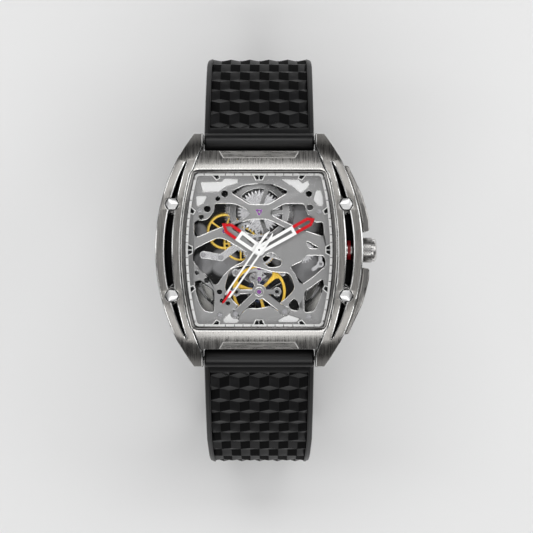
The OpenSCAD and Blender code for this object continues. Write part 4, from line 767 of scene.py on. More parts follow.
def soften(obj: bpy.types.Object, width: float, angle: float = 30.0, segments: int = 2,
           slot: int = -1) -> bpy.types.Object:
    """Bevels the sharp edges of an object and smooths the rest.

    A bevel only takes area away. One that adds area has folded over itself, and a finer one is tried.

    Args:
        obj: The object.
        width: Width of the bevel in millimetres.
        angle: Least angle of an edge that is bevelled, in degrees.
        segments: Steps across the bevel.
        slot: Material slot of the bevel, or -1 for that of its neighbours.

    Returns:
        The same object with a plain mesh.
    """
    plain = obj.data.copy()
    limit = area_of(plain) * AREA_SLACK
    for share in (1.0, 0.5, 0.25, 0.0):
        if not share:
            LOG.warning("%s keeps its plain edges", obj.name)
            break
        weigh_edges(obj.data, width * share, angle)
        bevel = obj.modifiers.new("bevel", "BEVEL")
        bevel.width = width * share * MM
        bevel.segments = segments
        bevel.limit_method = "WEIGHT"
        bevel.material = slot
        bevel.use_clamp_overlap = False
        settle(obj)
        if area_of(obj.data) <= limit:
            break
        LOG.info("%s takes a finer bevel", obj.name)
        obj.data = plain.copy()
    bpy.data.meshes.remove(plain)
    smooth(obj.data, SHARP)
    return obj


def between(first: int, second: int, count: int) -> list[list[int]]:
    """Returns the faces between two rings of points, given where each ring starts."""
    return [[first + k, first + (k + 1) % count, second + (k + 1) % count, second + k] for k in range(count)]


def solid(name: str, points: Ring, faces: list[list[int]], merge: float = 0.0) -> bpy.types.Object:
    """Makes a closed object whose faces point outwards.

    Args:
        name: Name of the object.
        points: Its points in millimetres.
        faces: Its faces.
        merge: Distance in millimetres at which points merge, or 0 to leave them.

    Returns:
        The object.
    """
    mesh = mesh_of(name, points, faces)
    with editing(mesh) as work:
        if merge:
            bmesh.ops.remove_doubles(work, verts=work.verts, dist=merge * MM)
        bmesh.ops.recalc_face_normals(work, faces=work.faces)
    return link(name, mesh)


def loft(name: str, rings: list[Ring], merge: float = 0.0) -> bpy.types.Object:
    """Makes a closed object that runs through rings of points.

    Args:
        name: Name of the object.
        rings: The rings, each with as many points.
        merge: Distance in millimetres at which points merge, or 0 to leave them.

    Returns:
        The object.
    """
    n = len(rings[0])
    last = n * (len(rings) - 1)
    faces = [face for first in range(0, last, n) for face in between(first, first + n, n)]
    faces += [list(range(n)), list(range(last, last + n))]
    return solid(name, [point for ring in rings for point in ring], faces, merge)


def blocks(name: str, pairs: list[tuple[Ring, Ring]]) -> bpy.types.Object:
    """Makes one object of blocks.

    Args:
        name: Name of the object.
        pairs: The two rings of points of each block.

    Returns:
        The object.
    """
    points: Ring = []
    faces: list[list[int]] = []
    for low, high in pairs:
        first, n = len(points), len(low)
        faces += [list(range(first, first + n)), list(range(first + n, first + 2 * n))]
        faces += between(first, first + n, n)
        points += [*low, *high]
    return solid(name, points, faces)


def rectangle(half_w: float, half_l: float, z: float) -> Ring:
    """Returns the corners of a level rectangle about the Z axis."""
    return [(-half_w, -half_l, z), (half_w, -half_l, z), (half_w, half_l, z), (-half_w, half_l, z)]


def lathe(name: str, profile: Outline, count: int, at: Point) -> bpy.types.Object:
    """Turns a profile about an axis along X.

    Args:
        name: Name of the object.
        profile: Distances along the axis and radii, in millimetres.
        count: Steps round the axis.
        at: A point of the axis.

    Returns:
        The object.
    """
    made = loft(name, [[(at[0] + x, at[1] + r * math.cos(a), at[2] + r * math.sin(a)) for a in turns(count)]
                       for x, r in profile])
    smooth(made.data, SHARP_TURNED)
    return made


def clip(points: Outline, nx: float, ny: float, limit: float) -> Outline:
    """Cuts a convex outline along a line.

    Args:
        points: The outline.
        nx: X of the line's normal.
        ny: Y of the line's normal.
        limit: The line's distance from the origin along its normal.

    Returns:
        The part of the outline that isn't beyond the line.
    """
    kept: Outline = []
    for index, b in enumerate(points):
        a = points[index - 1]
        da, db = (nx * p[0] + ny * p[1] - limit for p in (a, b))
        if da * db < 0:
            t = da / (da - db)
            kept.append((a[0] + (b[0] - a[0]) * t, a[1] + (b[1] - a[1]) * t))
        if db <= 0:
            kept.append(b)
    return kept


def cut(obj: bpy.types.Object, tool: bpy.types.Object) -> bpy.types.Object:
    """Cuts one closed object out of another.

    Args:
        obj: The object.
        tool: What is cut out of it. It is removed at the end.

    Returns:
        The same object.
    """
    made = obj.modifiers.new("cut", "BOOLEAN")
    made.object = tool
    made.solver = "EXACT"
    settle(obj)
    bpy.data.objects.remove(tool)
    return obj


def join(target: bpy.types.Object, others: list[bpy.types.Object]) -> bpy.types.Object:
    """Joins objects, which keep their finishes.

    Args:
        target: The object that takes in the others.
        others: The others.

    Returns:
        The first object.
    """
    every = [target, *others]
    with bpy.context.temp_override(active_object=target, selected_objects=every,
                                   selected_editable_objects=every):
        bpy.ops.object.join()
    return target


def drop_empty_slots(mesh: bpy.types.Mesh) -> None:
    """Drops the material slots that hold nothing, which joins and cuts leave behind.

    Args:
        mesh: The mesh.
    """
    slots = list(mesh.materials)
    kept = [material for material in slots if material]
    places = [kept.index(slots[face.material_index]) for face in mesh.polygons]
    mesh.materials.clear()
    for material in kept:
        mesh.materials.append(material)
    for face, place in zip(mesh.polygons, places):
        face.material_index = place


def finish(obj: bpy.types.Object, body: str, slot: str, *nodes: str) -> bpy.types.Object:
    """Hands a piece over to the frame.

    Args:
        obj: The piece.
        body: Body on which it rides.
        slot: Not used.
        nodes: Nodes that it replaces.

    Returns:
        The piece.
    """
    drop_empty_slots(obj.data)
    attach(obj, body)
    if nodes:
        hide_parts(*nodes)
    LOG.info("%s rides on %s", obj.name, body)
    return obj


def scatter_tree() -> bpy.types.GeometryNodeTree:
    """Builds the tree that puts a tile on every point, turned by the point's own angles.

    Returns:
        The tree, with inputs for the tile, its material and the distance at which corners merge.
    """
    tree = bpy.data.node_groups.new("scatter_tiles", "GeometryNodeTree")
    sockets = {"Geometry": "Geometry", "Tile": "Object", "Merge Distance": "Float", "Material": "Material"}
    for name, kind in sockets.items():
        tree.interface.new_socket(name=name, in_out="INPUT", socket_type=f"NodeSocket{kind}")
    tree.interface.new_socket(name="Geometry", in_out="OUTPUT", socket_type="NodeSocketGeometry")
    source, sink, info, turn, place, real, weld, dress = (tree.nodes.new(kind) for kind in (
        "NodeGroupInput", "NodeGroupOutput", "GeometryNodeObjectInfo", "GeometryNodeInputNamedAttribute",
        "GeometryNodeInstanceOnPoints", "GeometryNodeRealizeInstances", "GeometryNodeMergeByDistance",
        "GeometryNodeSetMaterial"))
    turn.data_type = "FLOAT_VECTOR"
    turn.inputs["Name"].default_value = "turn"
    for start, output, end, socket in (
        (source, "Geometry", place, "Points"), (source, "Tile", info, "Object"),
        (info, "Geometry", place, "Instance"), (turn, 0, place, "Rotation"), (place, 0, real, 0),
        (real, 0, weld, "Geometry"), (source, "Merge Distance", weld, "Distance"),
        (weld, 0, dress, "Geometry"), (source, "Material", dress, "Material"), (dress, 0, sink, 0),
    ):
        tree.links.new(start.outputs[output], end.inputs[socket])
    return tree


class Workshop:
    """Holds the frame, the finishes and the tile tree that the sub-assemblies share."""

    def __init__(self, frame: dict) -> None:
        """Builds every material.
        """
        record = frame["record"]
        effects = Effects()
        self.nodes = frame["nodes"]
        self.tiles = scatter_tree()
        self.materials = {key: made.build(effects) for key, made in FINISHES.items()}
        self.body_of = {node: body for body, nodes in record["behaviour"]["bodies"].items() for node in nodes}
        self.slot_of = {row["node"]: row["material_slot"] for row in record["subparts"]}

    def stand_for(self, obj: bpy.types.Object, node: str) -> bpy.types.Object:
        """Lets a piece take the place of a node, on the node's body."""
        return finish(obj, self.body_of[node], self.slot_of[node], node)

    def cover(self, obj: bpy.types.Object, *keys: str) -> bpy.types.Object:
        """Gives an object new finishes in place of all others.

        Args:
            obj: The object.
            keys: The finishes.

        Returns:
            The same object.
        """
        obj.data.materials.clear()
        for key in keys:
            obj.data.materials.append(self.materials[key])
        return obj

    def paint(self, obj: bpy.types.Object, key: str, test: FaceTest) -> None:
        """Gives some faces another finish; several of these are painted shade, one a painted highlight.

        Args:
            obj: The object.
            key: The finish.
            test: Says by a face's middle in millimetres and its normal whether it is painted.
        """
        slot = len(obj.data.materials)
        obj.data.materials.append(self.materials[key])
        for face in obj.data.polygons:
            if test(face.center / MM, face.normal):
                face.material_index = slot

    def copy(self, node: str, name: str, planes: Planes) -> bpy.types.Object:
        """Copies a node's mesh as one closed surface with its flat faces joined.

        Args:
            node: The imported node.
            name: Name of the copy.
            planes: Points and normals of planes that part its faces, in millimetres.

        Returns:
            The copy.
        """
        mesh = self.nodes[node].data.copy()
        mesh.name = name
        with editing(mesh) as work:
            bmesh.ops.remove_doubles(work, verts=work.verts, dist=TINY)
            bmesh.ops.dissolve_limit(work, angle_limit=math.radians(SAME_FLAT), verts=work.verts,
                                     edges=work.edges)
            for at, normal in planes:
                split(work, Vector(at) * MM, normal)
        return link(name, mesh)

    def machine(self, node: str, key: str, width: float, edge_key: str = "", angle: float = 30.0,
                planes: Planes = ()) -> bpy.types.Object:
        """Replaces a node with a copy whose edges carry a fine bevel.

        Args:
            node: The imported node.
            key: Finish of its faces.
            width: Width of the bevel in millimetres.
            edge_key: Finish of the bevels, or nothing for the faces' own.
            angle: Least angle of a bevelled edge, in degrees.
            planes: Planes that part its faces for painting.

        Returns:
            The new piece.
        """
        made = self.copy(node, f"{node}_machined", planes)
        self.cover(made, *((key, edge_key) if edge_key else (key,)))
        soften(made, width, angle, slot=1 if edge_key else -1)
        return self.stand_for(made, node)

    def scatter(self, name: str, spots: list[tuple[Point, Point]], tile: bpy.types.Object, key: str,
                merge: float = 0.0) -> bpy.types.Object:
        """Makes an object of tiles with Geometry Nodes.

        Args:
            name: Name of the object.
            spots: Place in millimetres and turn in radians about X, Y and Z, for each tile.
            tile: The tile, which is removed at the end.
            key: Finish of the result.
            merge: Distance in millimetres at which neighbouring corners merge.

        Returns:
            The object.
        """
        mesh = mesh_of(name, [at for at, _ in spots], [])
        angles = mesh.attributes.new("turn", "FLOAT_VECTOR", "POINT")
        for row, (_, turn) in zip(angles.data, spots):
            row.vector = turn
        base = link(name, mesh)
        made = base.modifiers.new("tiles", "NODES")
        made.node_group = self.tiles
        values = {"Tile": tile, "Merge Distance": merge * MM, "Material": self.materials[key]}
        for socket in self.tiles.interface.items_tree:
            if socket.name in values:
                made[socket.identifier] = values[socket.name]
        settle(base)
        bpy.data.objects.remove(tile)
        return base


# Sub-assemblies


@dataclass
class WatchCase:
    """The case body, its brushed front, the side rails, bolts and crown guards.

    Attributes:
        shop: Shared frame and finishes.
        slot_outer: Centre X and radius of the long slot's outer wall, on the right.
        slot_inner: The same of its inner wall.
        slot_floor: Height under which the slot's floor lies.
        slot_l: Half the slot's length.
        slot_slack: How far outside the slot a face may lie that is still its wall.
        slot_tilt: Z of the normal under which a face there is its wall.
        lip_x: Half the width of the shallow recess beside the strap.
        lip_y: Distance at which it starts.
        lip_z: Height there between its floor and the panel.
        lip_fall: How much that height falls for each millimetre outwards.
        parts: Finish, width of the bevel and finish of the bevel for each node that isn't painted.
    """

    shop: Workshop
    slot_outer: tuple[float, float] = (-22.641, 42.7)
    slot_inner: tuple[float, float] = (-41.354, 59.955)
    slot_floor: float = 6.0
    slot_l: float = 19.0
    slot_slack: float = 0.05
    slot_tilt: float = 0.3
    lip_x: float = 8.5
    lip_y: float = 19.6
    lip_z: float = 8.2
    lip_fall: float = 0.55
    parts: dict[str, tuple[str, float, str]] = field(default_factory=lambda: {
        "crown_guard_upper": ("guard", 0.5, "panel"),
        "crown_guard_lower": ("guard", 0.5, "panel"),
        "crystal_frame": ("frame", 0.12, ""),
        "crystal": ("crystal", 0.12, ""),
        "case_back": ("back", 0.12, "bevel"),
        "back_glass": ("crystal", 0.05, ""),
        "back_screws": ("screw", 0.05, ""),
        "lug_spring_bars": ("mirror", 0.08, ""),
    })

    def in_slot(self, at: Vector) -> bool:
        """Says whether a point lies in the long slot of either side, or on its wall."""
        outer, inner = (math.hypot(abs(at.x) - x, at.y) - r for x, r in (self.slot_outer, self.slot_inner))
        return outer < self.slot_slack and inner > -self.slot_slack and abs(at.y) <= self.slot_l

    def is_slot_shade(self, at: Vector, normal: Vector) -> bool:
        """Says whether a face belongs to the wall or the floor of the long slot, which take black as painted
        shade.
        """
        inside = abs(normal.z) < self.slot_tilt or at.z < self.slot_floor
        return inside and self.in_slot(at) and normal.z > -TILTED

    def is_lip(self, at: Vector, normal: Vector) -> bool:
        """Says whether a face belongs to the floor of the shallow recess beside the strap, which takes
        brighter steel as a painted highlight.
        """
        reach = abs(at.y) - self.lip_y
        inside = reach > 0 and abs(at.x) < self.lip_x and normal.z > TILTED
        return inside and at.z < self.lip_z - self.lip_fall * reach

    def build(self) -> None:
        """Machines every part of the case."""
        shop = self.shop
        # The long slot's walls and floor take black as painted shade.
        shop.paint(shop.machine("case_middle", "body", 0.1, "bevel"), "black", self.is_slot_shade)
        # The recess floor beside the strap takes brighter steel as a painted highlight.
        shop.paint(shop.machine("case_front", "panel", 0.2, "bevel", 25), "lip", self.is_lip)
        # The rails' slot walls and floors take black as painted shade.
        for node in ("side_rail_left", "side_rail_right"):
            shop.paint(shop.machine(node, "rail", 0.32, "bevel", 35), "black", self.is_slot_shade)
        shop.machine("rail_bolts", "bolt", 0.07, "", 5)
        for node, (key, width, edge_key) in self.parts.items():
            shop.machine(node, key, width, edge_key)
        shop.cover(shop.nodes["crystal_gasket"], "seal")
        shop.cover(shop.nodes["crown_gasket"], "red_seal")


@dataclass
class CrownGear:
    """The crown with its knurl, its tube and stem.

    Attributes:
        shop: Shared frame and finishes.
        base_x: X of the crown's inner end.
        axis_z: Height of its axis.
        length: Its length.
        radius: Its outer radius.
        knurl_l: Length of the knurled part.
        knurl_h: Depth of the turned body under that radius, and of the groove beside the cap.
        bore: Radius and depth of the bore for the tube.
        stem: Radius of the stem's bore, which ends with the knurl.
        around: Number of studs round the crown.
        rows: Number of their rows.
        stud: Half the length, width and height of a stud.
        stud_top: Size of its flat top as a share of its foot.
        land: Lower and upper corners of a land on the edge of the cap.
        pole: Radius at which the turned profile starts and ends.
        inner_edge: Size of the chamfer at the inner end.
        groove_x: Distances before the knurl's end at which the side of the groove starts and ends.
        ground: Distances from the knurl's two ends at which its dark ground, painted shade between the studs,
            starts and ends.
        first_row: Distance of the first row's middle from the inner end.
        rows_room: Length of the knurl beyond the middles of its first and last row.
        land_at: Distance of the lands' middle beyond the knurl, and under the outer radius.
    """

    shop: Workshop
    base_x: float = 22.0
    axis_z: float = 4.9
    length: float = 3.3
    radius: float = 2.7
    knurl_l: float = 2.4
    knurl_h: float = 0.14
    bore: tuple[float, float] = (1.75, 1.9)
    stem: float = 0.45
    around: int = 26
    rows: int = 7
    stud: Point = (0.27, 0.31, 0.12)
    stud_top: float = 0.66
    land: tuple[Ring, Ring] = field(default_factory=lambda: (
        [(-0.3, -0.16, -0.1), (0.22, -0.13, -0.1), (0.22, 0.13, -0.1), (-0.3, 0.16, -0.1)],
        [(-0.3, -0.12, 0.12), (0.1, -0.09, 0.04), (0.1, 0.09, 0.04), (-0.3, 0.12, 0.12)],
    ))
    pole: float = 0.002
    inner_edge: float = 0.12
    groove_x: tuple[float, float] = (0.16, 0.1)
    ground: tuple[float, float] = (0.2, 0.15)
    first_row: float = 0.34
    rows_room: float = 0.72
    land_at: tuple[float, float] = (0.34, 0.24)

    def turned(self) -> bpy.types.Object:
        """Builds the crown's turned body with its rounded cap."""
        r = self.radius - self.knurl_h
        low = r - self.knurl_h
        end = self.knurl_l
        cap = self.length - end
        bore_r, bore_x = self.bore
        profile = [(end - HAIR, self.pole), (end - HAIR, self.stem), (bore_x, self.stem), (bore_x, bore_r),
                   (0.0, bore_r), (0.0, r - self.inner_edge), (self.inner_edge, r),
                   (end - self.groove_x[0], r), (end - self.groove_x[1], low), (end, low)]
        for step in range(1, 7):
            a = math.radians(15 * step)
            profile.append((end + cap * math.sin(a), r - cap * (1 - math.cos(a))))
        profile.append((self.length, self.pole))
        made = self.shop.cover(lathe("crown_turned", profile, 72, (self.base_x, 0, self.axis_z)), "crown")
        start, stop = self.base_x + self.ground[0], self.base_x + end - self.ground[1]
        # The ground between the studs is dark grey as painted shade.
        self.shop.paint(made, "groove", lambda at, normal: start < at.x < stop)
        return made

    def spot(self, x: float, r: float, a: float) -> tuple[Point, Point]:
        """Returns the place and the turn of a tile at a distance along the crown, a radius and an angle."""
        return (self.base_x + x, -r * math.sin(a), self.axis_z + r * math.cos(a)), (a, 0.0, 0.0)

    def knurl(self) -> bpy.types.Object:
        """Builds the crossed knurl of small flat-topped studs."""
        half_x, half_y, half_z = self.stud
        foot, top = ([(k * half_x * c, k * half_y * d, z) for c, d in ((1, 0), (0, 1), (-1, 0), (0, -1))]
                     for k, z in ((1.0, -half_z), (self.stud_top, half_z)))
        pitch = 2 * math.pi / self.around
        pace = (self.knurl_l - self.rows_room) / (self.rows - 1)
        r = self.radius - self.knurl_h
        spots = [self.spot(self.first_row + row * pace, r, pitch * (k + 0.5 * (row % 2)))
                 for row in range(self.rows) for k in range(self.around)]
        return self.shop.scatter("crown_knurl", spots, blocks("stud", [(foot, top)]), "crown")

    def cap_notches(self) -> bpy.types.Object:
        """Builds the small lands round the edge of the cap."""
        beyond, under = self.land_at
        spots = [self.spot(self.knurl_l + beyond, self.radius - under, a) for a in turns(self.around // 2)]
        return self.shop.scatter("crown_lands", spots, blocks("land", [self.land]), "crown")

    def build(self) -> None:
        """Builds the crown and machines its parts."""
        self.shop.stand_for(join(self.turned(), [self.knurl(), self.cap_notches()]), "crown")
        self.shop.machine("crown_tube", "mirror", 0.05)
        self.shop.machine("crown_stem", "screw", 0.04)


@dataclass
class Movement:
    """Plates, bridges, wheels, jewels and screws.

    Attributes:
        shop: Shared frame and finishes.
        parts: Finish, width of the bevel and finish of the bevel for each node that isn't painted.
        deck_z: Height of the main plate's face.
        dial_z: Height of the front plate's face.
        groove: Least and greatest depth, under that face, of the groove floors that take dark grey as painted
            shade.
        pinion_z: Height over that face from which the seconds arbor is black.
    """

    shop: Workshop
    parts: dict[str, tuple[str, float, str]] = field(default_factory=lambda: {
        # The inlays' bevels are dark grey as a painted shade line round them.
        "bright_inlays": ("inlay", 0.16, "groove"),
        "balance_bridge": ("bridge", 0.16, "bevel"),
        "third_wheel_bridge": ("steel", 0.1, "bevel"),
        "escape_bridge": ("steel", 0.1, "bevel"),
        "centre_bridge": ("inlay", 0.1, "bevel"),
        # The movement ring is near black all over as painted shade.
        "movement_ring": ("deep", 0.08, ""),
        "bridge_screws": ("screw", 0.05, ""),
        "barrel_drum": ("barrel", 0.05, "bevel"),
        "barrel_cover": ("barrel", 0.04, ""),
        "barrel_arbor": ("steel", 0.04, ""),
        "ratchet_wheel": ("wheel", 0.06, "bevel"),
        "winding_idler": ("steel", 0.03, ""),
        "winding_crown_wheel": ("steel", 0.03, ""),
        "winding_pinion": ("screw", 0.02, ""),
        "setting_lever": ("steel", 0.06, "bevel"),
        "second_wheel": ("brass", 0.05, ""),
        "third_wheel": ("brass", 0.05, ""),
        "escape_wheel": ("steel", 0.02, ""),
        "pallet_fork": ("steel", 0.03, ""),
        "balance_wheel": ("gilt", 0.1, ""),
        "cannon_pinion": ("steel", 0.02, ""),
        "minute_wheel": ("steel", 0.03, ""),
        "hour_wheel": ("steel", 0.03, ""),
        "rotor_screw": ("screw", 0.06, ""),
        "jewels": ("jewel", 0.05, ""),
    })
    deck_z: float = 3.5
    dial_z: float = 7.6
    groove: tuple[float, float] = (0.05, 0.3)
    pinion_z: float = 0.5

    def build(self) -> None:
        """Machines every part of the movement."""
        shop = self.shop
        for node, (key, width, edge_key) in self.parts.items():
            shop.machine(node, key, width, edge_key)
        least, most = self.groove
        plate = shop.machine("front_plate", "plate", 0.24, "bevel")
        # Walls and undersides of the front plate are painted shade.
        shop.paint(plate, "deep", lambda at, normal: abs(normal.z) < WALL or normal.z < -TILTED)
        # The floors of its shallow grooves are dark grey as painted shade.
        shop.paint(plate, "groove", lambda at, normal: normal.z > LEVEL and least < self.dial_z - at.z < most)
        # The deck's dark face is painted shade with painted pools of light, and its low walls are painted
        # shade.
        deck = shop.machine("main_plate", "deck", 0.1, "bevel")
        shop.paint(deck, "deep", lambda at, normal: abs(normal.z) < WALL and at.z < self.deck_z)
        shop.paint(deck, "under", lambda at, normal: normal.z < -TILTED)
        rotor = shop.machine("rotor", "rotor", 0.08, "bevel")
        # The rotor's upper faces, seen through the openings, are painted shade.
        shop.paint(rotor, "deep", lambda at, normal: normal.z > TILTED)
        train = shop.machine("fourth_wheel", "brass", 0.04)
        shop.paint(train, "black", lambda at, normal: at.z > self.dial_z + self.pinion_z)
        for node in ("mainspring", "hairspring"):
            shop.cover(shop.nodes[node], "spring")


@dataclass
class DialRing:
    """The white minute track with its ticks, and the hour markers with their black fillings.

    Attributes:
        shop: Shared frame and finishes.
        edge: Half the width and half the length of the markers' outer outline.
        bow: Radius of its bowed sides.
        track: Width of the track beside the markers.
        step_z: Height of the track's face.
        tick: Half the width, half the length and the height of a tick, also its bevel.
        lift: Height of the ticks' foot over the track, which keeps the two faces apart.
        marker_l: Length of a marker.
        rim: Width of a marker's white frame.
        widths: Outer and inner width of a marker, at the quarters and elsewhere.
        fill_z: Heights of a filling's foot and top over the track.
        bar_gap: Gap between a filling and the bar in the middle of a quarter's marker.
    """

    shop: Workshop
    edge: tuple[float, float] = (15.75, 16.45)
    bow: float = 66.0
    track: float = 0.5
    step_z: float = 7.75
    tick: Point = (0.07, 0.25, 0.02)
    lift: float = 0.002
    marker_l: float = 1.55
    rim: float = 0.17
    widths: tuple[tuple[float, float], tuple[float, float]] = ((3.05, 1.6), (1.6, 1.0))
    fill_z: tuple[float, float] = (0.01, 0.15)
    bar_gap: float = 0.01

    def seat(self, degrees: float, inset: float = 0.0) -> tuple[float, float]:
        """Finds where a ray from the centre meets the outline.

        Args:
            degrees: Angle of the ray from 12 o'clock.
            inset: Distance by which the outline is drawn in.

        Returns:
            X and Y of the point.
        """
        ux, uy = math.sin(math.radians(degrees)), math.cos(math.radians(degrees))
        half_w, half_l = self.edge[0] - inset, self.edge[1] - inset
        reach_y = half_l / max(abs(uy), TINY)
        reach_x = half_w / max(abs(ux), TINY)
        for _ in range(4):
            y = min(reach_x, reach_y) * uy
            reach_x = (half_w - y * y / (2 * self.bow)) / max(abs(ux), TINY)
        d = min(reach_x, reach_y)
        return d * ux, d * uy

    def ticks(self) -> None:
        """Builds the dark ticks of the minutes, without those that the markers take."""
        half_w, half_l, high = self.tick
        tile = blocks("tick", [(rectangle(half_w, half_l, 0), rectangle(half_w - high, half_l - high, high))])
        spots = []
        for minute in range(60):
            if minute % 5 == 0:
                continue
            x, y = self.seat(6 * minute, self.track / 2)
            side = abs(x) > abs(y) * (self.edge[0] / self.edge[1]) and abs(y) < self.edge[1] - self.track
            spots.append(((x, y, self.step_z + self.lift), (0.0, 0.0, math.pi / 2 if side else 0.0)))
        finish(self.shop.scatter("minute_ticks", spots, tile, "black"), "case", "black_seal")

    def window(self, hour: int) -> list[Outline]:
        """Draws a marker's window.

        Args:
            hour: The marker's hour.

        Returns:
            Its outline, or its two outlines at a quarter.
        """
        quarter = hour % 3 == 0
        outer, inner = self.widths[0] if quarter else self.widths[1]
        beyond = self.marker_l / 2
        wide = outer / 2 + (outer - inner) / 2 * beyond / self.marker_l - self.rim
        narrow = inner / 2 - self.rim
        low = self.rim - self.marker_l
        halves = [[(-wide, beyond), (-narrow, low), (narrow, low), (wide, beyond)]]
        if quarter:
            bar = self.rim / 2 + self.bar_gap
            halves = [clip(halves[0], sign, 0, -bar) for sign in (1, -1)]
        a = math.radians(-30 * hour)
        sx, sy = self.seat(30 * hour)
        side = self.edge[0] - sy * sy / (2 * self.bow) - self.track
        outlines = []
        for half in halves:
            placed = [(sx + x * math.cos(a) - y * math.sin(a), sy + x * math.sin(a) + y * math.cos(a))
                      for x, y in half]
            for sign in (1, -1):
                placed = clip(placed, sign, 0, side)
                placed = clip(placed, 0, sign, self.edge[1] - self.track)
            outlines.append(placed)
        return outlines

    def build(self) -> None:
        """Dresses the track and the markers and fills their windows."""
        shop = self.shop
        shop.machine("minute_flange", "white", 0.05)
        shop.machine("hour_markers", "white", 0.05)
        self.ticks()
        levels = [self.step_z + z for z in self.fill_z]
        pairs = [tuple([(x, y, z) for x, y in outline] for z in levels)
                 for hour in range(1, 13) for outline in self.window(hour)]
        fill = shop.cover(blocks("marker_fillings", pairs), "black")
        finish(soften(fill, 0.02), "case", "black_seal")


@dataclass
class Hands:
    """The hour, minute and second hands.

    Attributes:
        shop: Shared frame and finishes.
        tips: Angle from 12 o'clock and distance of the red tip's start, for each painted hand.
        needle: Angle, start and half width of the second hand's red needle.
    """

    shop: Workshop
    tips: dict[str, tuple[float, float]] = field(default_factory=lambda: {
        "hour_hand": (305.5, 5.42), "minute_hand": (60.5, 8.68),
    })
    needle: tuple[float, float, float] = (214.4, 10.6, 0.25)

    @staticmethod
    def along(angle: float) -> Vector:
        """Returns the direction of a hand at an angle from 12 o'clock."""
        return Vector((math.sin(math.radians(angle)), math.cos(math.radians(angle)), 0))

    def build(self) -> None:
        """Machines the hands and paints their tips."""
        shop = self.shop
        for node, (angle, start) in self.tips.items():
            way = self.along(angle)
            made = shop.machine(node, "white", 0.06, planes=((tuple(way * start), tuple(way)),))
            shop.paint(made, "red", lambda at, normal: at.dot(way) > start)
        angle, start, half = self.needle
        way = self.along(angle)
        side = Vector((way.y, -way.x, 0))
        planes = tuple((tuple(line * reach), tuple(line))
                       for line, reach in ((way, start), (side, half), (side, -half)))
        made = shop.machine("second_hand", "white", 0.05, planes=planes)
        shop.paint(made, "red", lambda at, normal: at.dot(way) > start and abs(at.dot(side)) < half)


@dataclass
class StrapPath:
    """The centreline of a strap, run from its lug.

    Attributes:
        stretches: Length and turn of each stretch, in millimetres and degrees.
        mirror: True for the strap at 6 o'clock.
        start: Y and Z of the pivot.
        drop: Heading below the horizontal at the pivot, in degrees.
    """

    stretches: list[tuple[float, float]]
    mirror: bool
    start: tuple[float, float] = (23.4, 2.2)
    drop: float = 38.0

    @property
    def length(self) -> float:
        """Returns the length of the whole centreline."""
        return sum(run for run, _ in self.stretches)

    def at(self, s: float) -> tuple[float, float, float]:
        """Follows the centreline.

        Args:
            s: Distance along it. Past its end it runs straight on.

        Returns:
            Y, Z and the downward heading in radians.
        """
        y, z = self.start
        heading = math.radians(self.drop)
        left = s
        for index, (run, turn) in enumerate(self.stretches):
            last = index == len(self.stretches) - 1
            part = left if last else min(left, run)
            if part <= 0:
                break
            bend = math.radians(turn) * part / run
            if turn:
                r = part / bend
                y += r * (math.sin(heading + bend) - math.sin(heading))
                z -= r * (math.cos(heading) - math.cos(heading + bend))
                heading += bend
            else:
                y += part * math.cos(heading)
                z -= part * math.sin(heading)
            left -= part
        return y, z, heading

    def place(self, x: float, s: float, out: float) -> Point:
        """Places a point beside the centreline.

        Args:
            x: Its X.
            s: Distance along the centreline, less than 0 before its start.
            out: Distance outwards from it.

        Returns:
            The point.
        """
        y, z, heading = self.at(max(s, 0.0))
        if s < 0:
            y += s * math.cos(heading)
            z -= s * math.sin(heading)
        y += out * math.sin(heading)
        z += out * math.cos(heading)
        return (x, -y if self.mirror else y, z)

    def bar(self, name: str, half: float, radius: float, s: float) -> bpy.types.Object:
        """Builds a round bar across the strap with rounded ends.

        Args:
            name: Name of the object.
            half: Half its length.
            radius: Its radius.
            s: Its distance along the strap.

        Returns:
            The object.
        """
        chamfer = 0.5
        profile = [(-half + chamfer * (1 - math.cos(a)), radius - chamfer * (1 - math.sin(a)))
                   for a in (math.radians(30 * i) for i in range(4))]
        profile += [(-x, r) for x, r in reversed(profile)]
        return lathe(name, profile, 40, self.place(0, s, 0))


UPPER_PATH = StrapPath([(4, 0), (21.6, 20), (23.4, 122), (26, 0)], False)
LOWER_PATH = StrapPath([(4, 0), (27.9, 20), (36.2, 122), (51.9, 0)], True)


